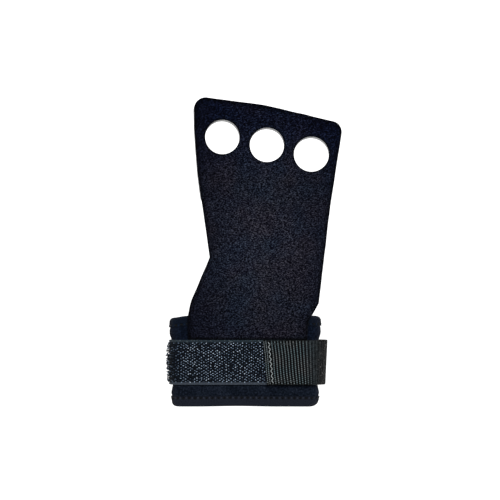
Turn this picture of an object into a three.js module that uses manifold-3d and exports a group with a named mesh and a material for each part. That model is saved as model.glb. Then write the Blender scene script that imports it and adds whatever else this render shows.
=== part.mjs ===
// Gymnastics hand grip for the left hand: a three-hole suede palm sheet sewn to a neoprene
// wristband, held by a hook-and-loop strap. Millimetres, +Z up.
//
// The grip lies flat on its back, bar side up. X runs across the hand (thumb side negative),
// Y runs from the wrist towards the fingertips, and Z = 0 is the surface it lies on. The origin
// is under the middle of the outline.
//
// The wristband is a closed neoprene tube lying nearly flat. The suede sheet starts under the
// strap, leaves the wristband's upper rim, slopes down to the table and ends flat on it. The
// hook tape is sewn round the band's left edge with its hooks facing out. The webbing starts on
// the underside, turns loosely round the right edge, and its free end lies on the hooks.

import * as THREE from "three";
import { mergeVertices } from "three/addons/utils/BufferGeometryUtils.js";
import Module from "manifold-3d";

const wasm = await Module();
wasm.setup();

// ---- driving dimensions ----------------------------------------------------------------
const GAP = 0.3; // clearance between sewn or touching pieces

// wristband: an oval tube, its axis along Y
const CUFF_LEFT = -46.8;
const CUFF_RIGHT = 36.4;
const CUFF_TOP = -35.8; // rim towards the palm
const CUFF_BOTTOM = -86.5; // rim towards the forearm
const CUFF_Z0 = 2.2; // underside, raised on the strap
const CUFF_H = 13.4; // outer thickness as it lies
const NEOPRENE_T = 2.8;
const LINING_T = 0.5;
const BINDING_T = 0.6;
const RECESS = BINDING_T + GAP; // step in the neoprene under the binding
const TOP_STEP = -42.4; // lower end of the upper hem
const BOTTOM_STEP = -80.4; // upper end of the lower hem
const CHANNEL = 1.1; // stitch channel between binding and step
const THREAD = 0.5;

// suede sheet
const SUEDE_T = 2.0;
const SUEDE_Z = 16.9; // mid plane on the wristband
const REST_Z = 1.0; // mid plane where it lies on the table
const SLOPE_START = -34.0;
const SLOPE_END = 28.0;
const WRIST_AXIS_Y = -32.5;
const ANCHOR_END = -36.3;
const FOLD_P = [4.1, 44.3]; // a point on the finger fold
const FOLD_DEG = -10.8; // slant of the finger fold in plan
const FINGER_HOLES = [
  [-18.0, 64.35, 9.65],
  [7.05, 59.9, 9.65],
  [32.0, 54.7, 9.8],
];

// strap: 25 mm wide
const STRAP_Y0 = -74.3;
const STRAP_Y1 = -49.3;
const HOOK_BASE_T = 0.6;
const HOOK_H = 1.0;
const SELVAGE = 1.3;
const HOOK_FRONT_END = 26.0;
const HOOK_BACK_END = -27.0;
const WEB_T = 1.4;
const LOOP_T = 0.8;
const TURN_X = 28.9; // centre of the loose turn round the right edge
const WEB_BACK_END = -25.5;
const TIP_X = 6.4; // free end of the strap

// ---- helpers ---------------------------------------------------------------------------
const toSolid = (geometry) => {
  const g = geometry.index ? geometry.toNonIndexed() : geometry.clone();
  for (const name of Object.keys(g.attributes))
    if (name !== "position") g.deleteAttribute(name);
  const m = mergeVertices(g, 1e-4);
  return new wasm.Manifold(
    new wasm.Mesh({
      numProp: 3,
      vertProperties: new Float32Array(m.attributes.position.array),
      triVerts: new Uint32Array(m.index.array),
    }),
  );
};

const toGeometry = (solid) => {
  const m = solid.getMesh();
  const g = new THREE.BufferGeometry();
  const xyz = new Float32Array((m.vertProperties.length / m.numProp) * 3);
  for (let i = 0; i < xyz.length / 3; i++)
    for (let k = 0; k < 3; k++)
      xyz[3 * i + k] = m.vertProperties[m.numProp * i + k];
  g.setAttribute("position", new THREE.BufferAttribute(xyz, 3));
  g.setIndex(new THREE.BufferAttribute(new Uint32Array(m.triVerts), 1));
  g.computeVertexNormals();
  return g;
};

const shapeOf = (points, holes = []) => {
  const s = new THREE.Shape(points.map(([u, v]) => new THREE.Vector2(u, v)));
  for (const h of holes)
    s.holes.push(new THREE.Path(h.map(([u, v]) => new THREE.Vector2(u, v))));
  return s;
};

const extrude = (shape, depth) =>
  new THREE.ExtrudeGeometry(shape, { depth, bevelEnabled: false, steps: 1 });

// A plan outline (x, y) raised from z0 to z1.
const plan = (points, z0, z1, holes = []) =>
  toSolid(extrude(shapeOf(points, holes), z1 - z0).translate(0, 0, z0));

// A section (x, z) running along Y from y0 to y1.
const alongY = (points, y0, y1, holes = []) =>
  toSolid(
    extrude(shapeOf(points, holes), y1 - y0)
      .rotateX(Math.PI / 2)
      .translate(0, y1, 0),
  );

// A section (y, z) running along X from x0 to x1.
const alongX = (points, x0, x1) => {
  const g = extrude(shapeOf(points), x1 - x0);
  g.applyMatrix4(
    new THREE.Matrix4().makeBasis(
      new THREE.Vector3(0, 1, 0),
      new THREE.Vector3(0, 0, 1),
      new THREE.Vector3(1, 0, 0),
    ),
  );
  return toSolid(g.translate(x0, 0, 0));
};

const rect = (x0, y0, x1, y1) => [
  [x0, y0],
  [x1, y0],
  [x1, y1],
  [x0, y1],
];

const join = (...solids) => solids.reduce((a, b) => a.add(b));

// A polygon whose corners [x, y, r] are rounded to radius r.
function rounded(corners, step = 0.22) {
  const out = [];
  const n = corners.length;
  for (let i = 0; i < n; i++) {
    const p = new THREE.Vector2(...corners[i].slice(0, 2));
    const a = new THREE.Vector2(...corners[(i + n - 1) % n].slice(0, 2));
    const b = new THREE.Vector2(...corners[(i + 1) % n].slice(0, 2));
    const r = corners[i][2] || 0;
    const u = a.clone().sub(p);
    const v = b.clone().sub(p);
    const room = 0.49 * Math.min(u.length(), v.length());
    u.normalize();
    v.normalize();
    const inner = Math.acos(THREE.MathUtils.clamp(u.dot(v), -1, 1));
    const turn = Math.PI - inner;
    if (!r || turn < 1e-3) {
      out.push([p.x, p.y]);
      continue;
    }
    let cut = r / Math.tan(inner / 2);
    if (cut > room) cut = room;
    const radius = cut * Math.tan(inner / 2);
    const mid = u.clone().add(v).normalize();
    const centre = p
      .clone()
      .add(mid.multiplyScalar(Math.hypot(cut, radius)));
    const from = p.clone().add(u.clone().multiplyScalar(cut));
    const a0 = Math.atan2(from.y - centre.y, from.x - centre.x);
    const sign = u.x * v.y - u.y * v.x > 0 ? -1 : 1;
    const steps = Math.max(2, Math.ceil(turn / step));
    for (let k = 0; k <= steps; k++) {
      const t = a0 + (sign * turn * k) / steps;
      out.push([
        centre.x + radius * Math.cos(t),
        centre.y + radius * Math.sin(t),
      ]);
    }
  }
  return out;
}

const circle = (x, y, r, n = 44) =>
  Array.from({ length: n }, (_, i) => {
    const t = (2 * Math.PI * i) / n;
    return [x + r * Math.cos(t), y + r * Math.sin(t)];
  });

// ---- wristband -------------------------------------------------------------------------
const CUFF_R = CUFF_H / 2;
const CUFF_ZC = CUFF_Z0 + CUFF_R;

// The tube's oval section, inset by d from its outer face.
function oval(d, n = 14) {
  const r = CUFF_R - d;
  const out = [];
  for (let i = 0; i <= n; i++) {
    const t = -Math.PI / 2 + (Math.PI * i) / n;
    out.push([
      CUFF_RIGHT - CUFF_R + r * Math.cos(t),
      CUFF_ZC + r * Math.sin(t),
    ]);
  }
  for (let i = 0; i <= n; i++) {
    const t = Math.PI / 2 + (Math.PI * i) / n;
    out.push([CUFF_LEFT + CUFF_R + r * Math.cos(t), CUFF_ZC + r * Math.sin(t)]);
  }
  return out;
}
const ring = (outer, inner, y0, y1) =>
  alongY(oval(outer), y0, y1, [oval(inner).reverse()]);

const neopreneCuff = join(
  ring(0, NEOPRENE_T, BOTTOM_STEP, TOP_STEP),
  ring(
    RECESS,
    NEOPRENE_T,
    CUFF_BOTTOM + BINDING_T + GAP,
    CUFF_TOP - BINDING_T - GAP,
  ),
);
const LINING_D = NEOPRENE_T + GAP;
const WALL = LINING_D + LINING_T;
const topLeg = TOP_STEP + CHANNEL;
const bottomLeg = BOTTOM_STEP - CHANNEL;
const cuffLining = ring(LINING_D, WALL, bottomLeg + GAP, topLeg - GAP);
const topBinding = join(
  ring(0, BINDING_T, topLeg, CUFF_TOP),
  ring(LINING_D, WALL, topLeg, CUFF_TOP),
  ring(0, WALL, CUFF_TOP - BINDING_T, CUFF_TOP),
);
const bottomBinding = join(
  ring(0, BINDING_T, CUFF_BOTTOM, bottomLeg),
  ring(LINING_D, WALL, CUFF_BOTTOM, bottomLeg),
  ring(0, WALL, CUFF_BOTTOM, CUFF_BOTTOM + BINDING_T),
);
const topHemStitch = ring(
  0.1,
  0.1 + THREAD,
  TOP_STEP + GAP,
  TOP_STEP + GAP + THREAD,
);
const bottomHemStitch = ring(
  0.1,
  0.1 + THREAD,
  BOTTOM_STEP - GAP - THREAD,
  BOTTOM_STEP - GAP,
);
// the band's closing seam, taped inside the lower wall
const seamTape = plan(
  rect(-11, bottomLeg + 1, -1, topLeg - 1),
  CUFF_Z0 + WALL + GAP,
  CUFF_Z0 + WALL + GAP + 0.5,
);

// ---- suede sheet -----------------------------------------------------------------------
// Plan outline with the radius of each corner.
const SUEDE = [
  [-34.08, 87.45, 6.4], // index corner
  [6.19, 82.26, 70], // crown of the top edge
  [49.86, 71.85, 6.2], // ring corner
  [42.59, 25.48, 90],
  [35.92, -28.84, 2.6],
  [29.99, -39.48, 3],
  [28.59, -68.6, 1.5],
  [-36.65, -68.6, 1.5],
  [-37.44, -37.24, 5],
  [-35.76, -28.56, 24],
  [-25.12, -3.25, 0.8], // notch at the thumb
  [-31.84, 42.28, 110],
  [-33.85, 69.16, 50],
];
const suedePlan = plan(rounded(SUEDE), -5, 30);
const cutters = FINGER_HOLES.map(([x, y, r]) =>
  plan(circle(x, y, r), -5, 30),
);

function suedeHeight(y) {
  const t = THREE.MathUtils.clamp(
    (y - SLOPE_START) / (SLOPE_END - SLOPE_START),
    0,
    1,
  );
  return SUEDE_Z + (REST_Z - SUEDE_Z) * t * t * (3 - 2 * t);
}

// The sheet's long section between two distances, as a closed outline (y, z).
function suedeSection(y0, y1) {
  const ys = new Set([y0, y1]);
  for (let i = 0; i <= 18; i++) {
    const y = SLOPE_START + ((SLOPE_END - SLOPE_START) * i) / 18;
    if (y > y0 && y < y1) ys.add(y);
  }
  const line = [...ys].sort((a, b) => a - b);
  const up = [];
  const down = [];
  for (const y of line) {
    const slope = (suedeHeight(y + 0.05) - suedeHeight(y - 0.05)) / 0.1;
    const n = Math.hypot(1, slope);
    const z = suedeHeight(y);
    const off = SUEDE_T / 2;
    const end = y === y0 || y === y1;
    up.push([end ? y : y - (slope / n) * off, z + off / (end ? 1 : n)]);
    down.push([end ? y : y + (slope / n) * off, z - off / (end ? 1 : n)]);
  }
  return [...down, ...up.reverse()];
}
const suedeSheet = (y0, y1) =>
  alongX(suedeSection(y0, y1), -60, 60).intersect(suedePlan);

// The plan between two lines parallel to the finger fold, at distances a and b past it.
function foldZone(a, b) {
  const t = THREE.MathUtils.degToRad(FOLD_DEG);
  const along = [Math.cos(t), Math.sin(t)];
  const up = [-Math.sin(t), Math.cos(t)];
  const at = (u, v) => [
    FOLD_P[0] + u * along[0] + v * up[0],
    FOLD_P[1] + u * along[1] + v * up[1],
  ];
  return plan([at(-90, a), at(90, a), at(90, b), at(-90, b)], -10, 40);
}

const HALF_PALM = 1.7; // room for the fold on the palm's side
const HALF_FINGER = 0.6;
const flatSheet = suedeSheet(-30, 95);
const anchorPanel = suedeSheet(-72, ANCHOR_END);
const wristBend = suedeSheet(ANCHOR_END + GAP, WRIST_AXIS_Y + 0.5 - GAP);
const palmPanel = suedeSheet(WRIST_AXIS_Y + 0.5, 95).intersect(
  foldZone(-120, -HALF_PALM),
);
const fingerBend = flatSheet.intersect(
  foldZone(-HALF_PALM + GAP, HALF_FINGER - GAP),
);
const fingerEnd = cutters.reduce(
  (a, b) => a.subtract(b),
  flatSheet.intersect(foldZone(HALF_FINGER, 90)),
);

// a row of stitches round the sewn part of the sheet, sunk in the suede
const sewnOuter = rect(-34.5, -66, 26.4, -53);
const sewnInner = rect(-34.5 + THREAD, -66 + THREAD, 26.4 - THREAD, -53 - THREAD);
const grooveOuter = rect(-34.8, -66.3, 26.7, -52.7);
const grooveInner = rect(-33.7, -65.2, 25.6, -53.8);
const suedeTop = SUEDE_Z + SUEDE_T / 2;
const anchorStitch = plan(sewnOuter, suedeTop - 0.6, suedeTop - 0.1, [
  [...sewnInner].reverse(),
]);
const anchorSheet = anchorPanel.subtract(
  plan(grooveOuter, suedeTop - 0.9, suedeTop + 1, [[...grooveInner].reverse()]),
);

// ---- hook tape -------------------------------------------------------------------------
// Mid line of the woven tape: along the top, round the band's left edge, and back underneath.
const TAPE_TOP = suedeTop + GAP + HOOK_BASE_T / 2;
const TAPE_LOW = CUFF_Z0 - GAP - HOOK_BASE_T / 2;
const tapeLine = [];
{
  const cx = CUFF_LEFT + CUFF_R;
  const a = CUFF_R + GAP + HOOK_BASE_T / 2;
  const b = TAPE_TOP - CUFF_ZC;
  tapeLine.push([HOOK_FRONT_END, TAPE_TOP]);
  for (let i = 0; i <= 10; i++) {
    const t = Math.PI / 2 + (Math.PI / 2) * (i / 10);
    tapeLine.push([cx + a * Math.cos(t), CUFF_ZC + b * Math.sin(t)]);
  }
  for (let i = 1; i <= 9; i++) {
    const t = Math.PI + (Math.PI / 2) * (i / 9);
    tapeLine.push([cx + a * Math.cos(t), CUFF_ZC + a * Math.sin(t)]);
  }
  tapeLine.push([HOOK_BACK_END, TAPE_LOW]);
}

// A band between two offsets from a line (x, z); positive offsets lie on the line's right.
function band(line, d0, d1) {
  const side = (d) =>
    line.map((p, i) => {
      const a = line[Math.max(0, i - 1)];
      const b = line[Math.min(line.length - 1, i + 1)];
      const l1 = Math.hypot(p[0] - a[0], p[1] - a[1]) || 1;
      const l2 = Math.hypot(b[0] - p[0], b[1] - p[1]) || 1;
      const t1 = [(p[0] - a[0]) / l1, (p[1] - a[1]) / l1];
      const t2 = [(b[0] - p[0]) / l2, (b[1] - p[1]) / l2];
      const t = [t1[0] + t2[0], t1[1] + t2[1]];
      const l = Math.hypot(...t);
      const n = [t[1] / l, -t[0] / l];
      const lift = 1 / Math.max(0.7, Math.hypot(t[0], t[1]) / (i && i < line.length - 1 ? 2 : 1));
      return [p[0] + n[0] * d * lift, p[1] + n[1] * d * lift];
    });
  return [...side(d0), ...side(d1).reverse()];
}
const hookTape = alongY(
  band(tapeLine, -HOOK_BASE_T / 2, HOOK_BASE_T / 2),
  STRAP_Y0,
  STRAP_Y1,
);
const inset = (line, start, end) => [
  [line[0][0] - start, line[0][1]],
  ...line.slice(1, -1),
  [line[line.length - 1][0] - end, line[line.length - 1][1]],
];
const HOOK_D0 = HOOK_BASE_T / 2 + GAP;
const hookField = alongY(
  band(inset(tapeLine, 1.5, 1.5), HOOK_D0, HOOK_D0 + HOOK_H),
  STRAP_Y0 + SELVAGE,
  STRAP_Y1 - SELVAGE,
);
const TAPE_THREAD = 0.4;
const tapeStitchLine = inset(tapeLine, 0.4, 0.4);
const tapeRow = (y) =>
  alongY(
    band(tapeStitchLine, HOOK_D0, HOOK_D0 + TAPE_THREAD),
    y,
    y + TAPE_THREAD,
  );
const hookTapeStitch = join(
  tapeRow(STRAP_Y0 + 0.4),
  tapeRow(STRAP_Y1 - 0.8),
  alongY(
    band(
      [
        [HOOK_FRONT_END - 0.4, TAPE_TOP],
        [HOOK_FRONT_END - 0.8, TAPE_TOP],
      ],
      HOOK_D0,
      HOOK_D0 + TAPE_THREAD,
    ),
    STRAP_Y0 + 0.4,
    STRAP_Y1 - 0.4,
  ),
);

// ---- webbing ---------------------------------------------------------------------------
const hookTop = TAPE_TOP + HOOK_D0 + HOOK_H;
const loopZ0 = hookTop + GAP;
const webZ0 = loopZ0 + LOOP_T + GAP;
const webMid = webZ0 + WEB_T / 2;
const TURN_Z = (webMid + WEB_T / 2) / 2;
const TURN_R = webMid - TURN_Z;

// The strap is one continuous strip. Two short flexible stretches divide it where the loose
// turn opens: one low and one high on the turn, at these angles about the turn's centre.
const BEND = Math.PI / 4;
const BEND_HALF = 1.1; // half the flexible stretch and its gaps, along the strip
const turnPoint = (t) => [
  TURN_X + TURN_R * Math.cos(t),
  TURN_Z + TURN_R * Math.sin(t),
];
const turnArc = (t0, t1, n) =>
  Array.from({ length: n + 1 }, (_, i) => turnPoint(t0 + ((t1 - t0) * i) / n));
const bendEdge = BEND_HALF / TURN_R;
const bendStrip = (BEND_HALF - GAP) / TURN_R;
const strip = (line) =>
  alongY(band(line, -WEB_T / 2, WEB_T / 2), STRAP_Y0, STRAP_Y1);

const webGroove = 0.9;
// a square with both diagonals, sewn through the end that is fixed to the back
const boxX = (w, z0, z1) => {
  const x0 = WEB_BACK_END + 1.8;
  const x1 = x0 + 17;
  const y0 = STRAP_Y0 + 3;
  const y1 = STRAP_Y1 - 3;
  const bar = (ax, ay, bx, by) => {
    const l = Math.hypot(bx - ax, by - ay);
    const n = [(-(by - ay) / l) * (w / 2), ((bx - ax) / l) * (w / 2)];
    const t = [((bx - ax) / l) * (w / 2), ((by - ay) / l) * (w / 2)];
    return plan(
      [
        [ax - t[0] - n[0], ay - t[1] - n[1]],
        [bx + t[0] - n[0], by + t[1] - n[1]],
        [bx + t[0] + n[0], by + t[1] + n[1]],
        [ax - t[0] + n[0], ay - t[1] + n[1]],
      ],
      z0,
      z1,
    );
  };
  return join(
    bar(x0, y0, x1, y0),
    bar(x1, y0, x1, y1),
    bar(x1, y1, x0, y1),
    bar(x0, y1, x0, y0),
    bar(x0, y0, x1, y1),
    bar(x0, y1, x1, y0),
  );
};
const strapWebbing = strip([
  ...turnArc(-BEND - bendEdge, -Math.PI / 2, 5),
  [WEB_BACK_END, WEB_T / 2],
]).subtract(boxX(THREAD + 2 * GAP, -1, webGroove));
const strapStitch = boxX(THREAD, 0.1, 0.1 + THREAD);
const lowerBend = strip(turnArc(-BEND + bendStrip, -BEND - bendStrip, 2));
const strapTurn = strip(turnArc(BEND - bendEdge, -BEND + bendEdge, 8));
const upperBend = strip(turnArc(BEND + bendStrip, BEND - bendStrip, 2));
// the patch is sewn along its two long sides and across the strap's tip
const stitchU = (d, run) => {
  const [x0, x1] = [TIP_X + 2.6, 23.2 + run];
  const [y0, y1] = [STRAP_Y0 + 2.2, STRAP_Y1 - 2.2];
  return [
    [x0 - d, y0 - d],
    [x1, y0 - d],
    [x1, y0 + d],
    [x0 + d, y0 + d],
    [x0 + d, y1 - d],
    [x1, y1 - d],
    [x1, y1 + d],
    [x0 - d, y1 + d],
  ];
};
const strapEnd = strip([
  [TIP_X, webMid],
  ...turnArc(Math.PI / 2, BEND + bendEdge, 5),
]).subtract(
  plan(stitchU(THREAD / 2 + GAP, GAP), webZ0 + WEB_T - 0.8, webZ0 + 3),
);
const loopPatch = plan(
  rect(TIP_X + 0.8, STRAP_Y0 + 0.8, 24.4, STRAP_Y1 - 0.8),
  loopZ0,
  loopZ0 + LOOP_T,
);
const loopStitch = plan(
  stitchU(THREAD / 2, 0),
  webZ0 + WEB_T - 0.5,
  webZ0 + WEB_T - 0.05,
);

// ---- materials and scene ---------------------------------------------------------------
const material = (color, roughness) =>
  new THREE.MeshStandardMaterial({ color, roughness, metalness: 0 });
const suede = material(0x1c1d24, 0.95);
const neoprene = material(0x10141c, 0.75);
const lining = material(0x14161c, 0.9);
const binding = material(0x14161d, 0.85);
const tape = material(0x2b3036, 0.7);
const hooks = material(0x30363d, 0.55);
const webbing = material(0x2c3033, 0.7);
const loops = material(0x1b1d21, 0.98);
const thread = material(0x0c0d10, 0.6);

const grip = new THREE.Group();
const add = (name, solid, mat, parent) => {
  const mesh = new THREE.Mesh(toGeometry(solid), mat);
  mesh.name = name;
  parent.add(mesh);
  return mesh;
};
const wristband = new THREE.Group();
const sheet = new THREE.Group();
const strap = new THREE.Group();
grip.add(wristband, sheet, strap);

add("neoprene_cuff", neopreneCuff, neoprene, wristband);
add("cuff_lining", cuffLining, lining, wristband);
add("top_hem_binding", topBinding, binding, wristband);
add("bottom_hem_binding", bottomBinding, binding, wristband);
add("top_hem_stitch", topHemStitch, thread, wristband);
add("bottom_hem_stitch", bottomHemStitch, thread, wristband);
add("cuff_seam_tape", seamTape, binding, wristband);

add("suede_anchor", anchorSheet, suede, sheet);
add("suede_anchor_stitch", anchorStitch, thread, sheet);
add("suede_wrist_bend", wristBend, suede, sheet);
add("suede_palm", palmPanel, suede, sheet);
add("suede_finger_bend", fingerBend, suede, sheet);
add("suede_finger_end", fingerEnd, suede, sheet);

add("hook_tape", hookTape, tape, strap);
add("hook_field", hookField, hooks, strap);
add("hook_tape_stitch", hookTapeStitch, thread, strap);
add("strap_webbing", strapWebbing, webbing, strap);
add("strap_box_stitch", strapStitch, thread, strap);
add("strap_lower_bend", lowerBend, webbing, strap);
add("strap_turn", strapTurn, webbing, strap);
add("strap_upper_bend", upperBend, webbing, strap);
add("strap_end_webbing", strapEnd, webbing, strap);
add("loop_patch", loopPatch, loops, strap);
add("loop_patch_stitch", loopStitch, thread, strap);

export default grip;
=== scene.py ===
import math

import bpy
import numpy as np
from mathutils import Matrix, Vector, geometry


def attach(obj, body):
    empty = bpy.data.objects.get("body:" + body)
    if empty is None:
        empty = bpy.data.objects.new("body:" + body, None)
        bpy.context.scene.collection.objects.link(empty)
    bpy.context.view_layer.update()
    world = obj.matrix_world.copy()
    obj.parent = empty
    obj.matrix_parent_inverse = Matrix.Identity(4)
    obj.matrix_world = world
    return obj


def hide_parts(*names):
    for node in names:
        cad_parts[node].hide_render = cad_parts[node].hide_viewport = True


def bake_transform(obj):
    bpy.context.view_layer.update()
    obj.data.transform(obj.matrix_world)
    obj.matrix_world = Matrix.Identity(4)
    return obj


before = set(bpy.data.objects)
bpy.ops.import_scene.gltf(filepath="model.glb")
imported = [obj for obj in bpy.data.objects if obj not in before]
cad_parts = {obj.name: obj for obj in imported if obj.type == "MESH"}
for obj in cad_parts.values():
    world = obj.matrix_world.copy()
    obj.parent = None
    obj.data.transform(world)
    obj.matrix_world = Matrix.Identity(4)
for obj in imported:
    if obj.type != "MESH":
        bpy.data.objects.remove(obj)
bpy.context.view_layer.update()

MM = 0.001
PI = math.pi

# ---------------------------------------------------------------- camera (first: it frames 280 mm)
cam_data = bpy.data.cameras.new("camera")
cam_data.lens = 300
cam_data.sensor_width = 36
cam = bpy.data.objects.new("camera", cam_data)
cam.location = (-0.0025, 0.00085, 0.008 + 0.280 * 300 / 36)
bpy.context.scene.collection.objects.link(cam)
bpy.context.scene.camera = cam
cam_data.clip_end = 10

# ---------------------------------------------------------------- numbers shared with the CAD (mm)
CUFF_L, CUFF_R, CUFF_Z0, CUFF_H = -46.8, 36.4, 2.2, 13.4
CR = CUFF_H / 2
CZ = CUFF_Z0 + CR
CXL, CXR = CUFF_L + CR, CUFF_R - CR
CUFF_TOP, CUFF_BOTTOM = -35.8, -86.5
STRAP_Y0, STRAP_Y1 = -74.3, -49.3
SUEDE_T, SUEDE_Z, REST_Z = 2.0, 16.9, 1.0
SLOPE0, SLOPE1 = -34.0, 28.0
WRIST_Y = -32.5
HOLES = [(-18.0, 64.35, 9.65), (7.05, 59.9, 9.65), (32.0, 54.7, 9.8)]
TAPE_TOP, TAPE_LOW = 18.5, 1.6
TURN_X, TURN_Z, TURN_R = 28.9, 11.45, 10.75
WEB_MID_TOP, WEB_MID_LOW, WEB_T = 22.2, 0.7, 1.4
WEB_BACK_END, TIP_X = -25.5, 5.9
LOOP_Z0, LOOP_T = 20.4, 0.8
RIB = 1.7
U_BACK = TURN_X - WEB_BACK_END
U_TURN = U_BACK + PI * TURN_R


# ---------------------------------------------------------------- helpers
def lattice(i, j, k, seed):
    h = (i * 73856093) ^ (j * 19349663) ^ (k * 83492791) ^ (seed * 40503 + 977)
    h = h & 0xFFFFFFFF
    h = ((h ^ (h >> 15)) * 2246822519) & 0xFFFFFFFF
    h = ((h ^ (h >> 13)) * 3266489917) & 0xFFFFFFFF
    h = h ^ (h >> 16)
    return (h & 0xFFFFFF) / 0xFFFFFF * 2.0 - 1.0


def noise(p, size, seed=0):
    """Smooth value noise from -1 to 1 at points p (n, 3)."""
    q = np.asarray(p, float) / np.asarray(size, float) + 4096.37
    i = np.floor(q).astype(np.int64)
    f = q - i
    w = f * f * (3 - 2 * f)
    out = 0
    for a in (0, 1):
        for b in (0, 1):
            for c in (0, 1):
                wt = (
                    (w[:, 0] if a else 1 - w[:, 0])
                    * (w[:, 1] if b else 1 - w[:, 1])
                    * (w[:, 2] if c else 1 - w[:, 2])
                )
                out = out + wt * lattice(i[:, 0] + a, i[:, 1] + b, i[:, 2] + c, seed)
    return out


def rnd(n, seed):
    i = np.arange(n, dtype=np.int64)
    return lattice(i, i * 7 + 3, i * 13 + 5, seed)


def sstep(x, a, b):
    t = np.clip((np.asarray(x, float) - a) / (b - a), 0, 1)
    return t * t * (3 - 2 * t)


def make(name, verts, faces, mat, coords=None, sharp=None):
    """A smooth-shaded mesh from points in mm. coords are the fabric coordinates that its materials read."""
    me = bpy.data.meshes.new(name)
    me.from_pydata((np.asarray(verts, float) * MM).tolist(), [], [tuple(f) for f in faces])
    me.update()
    me.polygons.foreach_set("use_smooth", [True] * len(me.polygons))
    at = me.attributes.new("cloth", "FLOAT_VECTOR", "POINT")
    at.data.foreach_set(
        "vector", np.asarray(verts if coords is None else coords, np.float32).ravel()
    )
    o = bpy.data.objects.new(name, me)
    bpy.context.scene.collection.objects.link(o)
    o.data.materials.append(mat)
    if sharp:
        me.set_sharp_from_angle(angle=math.radians(sharp))
    return o


def grid_faces(nu, nv, wrap_u=False, wrap_v=False, flip=False, base=0):
    us = range(nu if wrap_u else nu - 1)
    vs = range(nv if wrap_v else nv - 1)
    out = []
    for i in us:
        for j in vs:
            a = base + i * nv + j
            b = base + ((i + 1) % nu) * nv + j
            c = base + ((i + 1) % nu) * nv + (j + 1) % nv
            d = base + i * nv + (j + 1) % nv
            out.append((a, d, c, b) if flip else (a, b, c, d))
    return out


class Bag:
    """Many small closed bodies gathered in one mesh."""

    def __init__(self):
        self.v, self.f, self.c, self.n = [], [], [], 0

    def tube(self, pts, radius, sides=6, coord=None, squash=1.0, up=None):
        """A closed round-ended thread along pts (k, 3)."""
        pts = np.asarray(pts, float)
        k = len(pts)
        tan = np.gradient(pts, axis=0)
        tan /= np.linalg.norm(tan, axis=1)[:, None]
        ref = np.array(up if up is not None else (0.0, 0.0, 1.0))
        if abs(tan[0] @ ref) > 0.95 and up is None:
            ref = np.array((1.0, 0.0, 0.0))
        side = np.cross(tan, ref)
        bad = np.linalg.norm(side, axis=1) < 1e-3
        side[bad] = np.cross(tan[bad], np.array((0.0, 1.0, 0.0)))
        side /= np.linalg.norm(side, axis=1)[:, None]
        other = np.cross(side, tan)
        r = np.full(k, radius) if np.isscalar(radius) else np.asarray(radius)
        ang = 2 * PI * np.arange(sides) / sides
        ring = (
            pts[:, None, :]
            + r[:, None, None] * np.cos(ang)[None, :, None] * side[:, None, :]
            + squash * r[:, None, None] * np.sin(ang)[None, :, None] * other[:, None, :]
        )
        tip0 = pts[0] - tan[0] * r[0] * 0.7
        tip1 = pts[-1] + tan[-1] * r[-1] * 0.7
        b = self.n
        self.v += [ring.reshape(-1, 3), tip0[None], tip1[None]]
        for i in range(k - 1):
            for j in range(sides):
                j2 = (j + 1) % sides
                self.f.append(
                    (b + i * sides + j, b + i * sides + j2, b + (i + 1) * sides + j2, b + (i + 1) * sides + j)
                )
        t0, t1 = b + k * sides, b + k * sides + 1
        for j in range(sides):
            j2 = (j + 1) % sides
            self.f.append((t0, b + j2, b + j))
            self.f.append((t1, b + (k - 1) * sides + j, b + (k - 1) * sides + j2))
        self.n += k * sides + 2
        c = np.zeros((k * sides + 2, 3))
        c[: k * sides, 0] = np.repeat(np.linspace(0, 1, k), sides)
        c[: k * sides, 1] = np.tile(ang / (2 * PI), k)
        c[:, 2] = 0 if coord is None else coord
        c[-1, 0] = 1
        self.c.append(c)

    def build(self, name, mat):
        o = make(name, np.vstack(self.v), self.f, mat, coords=np.vstack(self.c))
        return fix_normals(o)


def fix_normals(o):
    import bmesh

    bm = bmesh.new()
    bm.from_mesh(o.data)
    bmesh.ops.recalc_face_normals(bm, faces=bm.faces)
    bm.to_mesh(o.data)
    bm.free()
    o.data.update()
    return o


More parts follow.
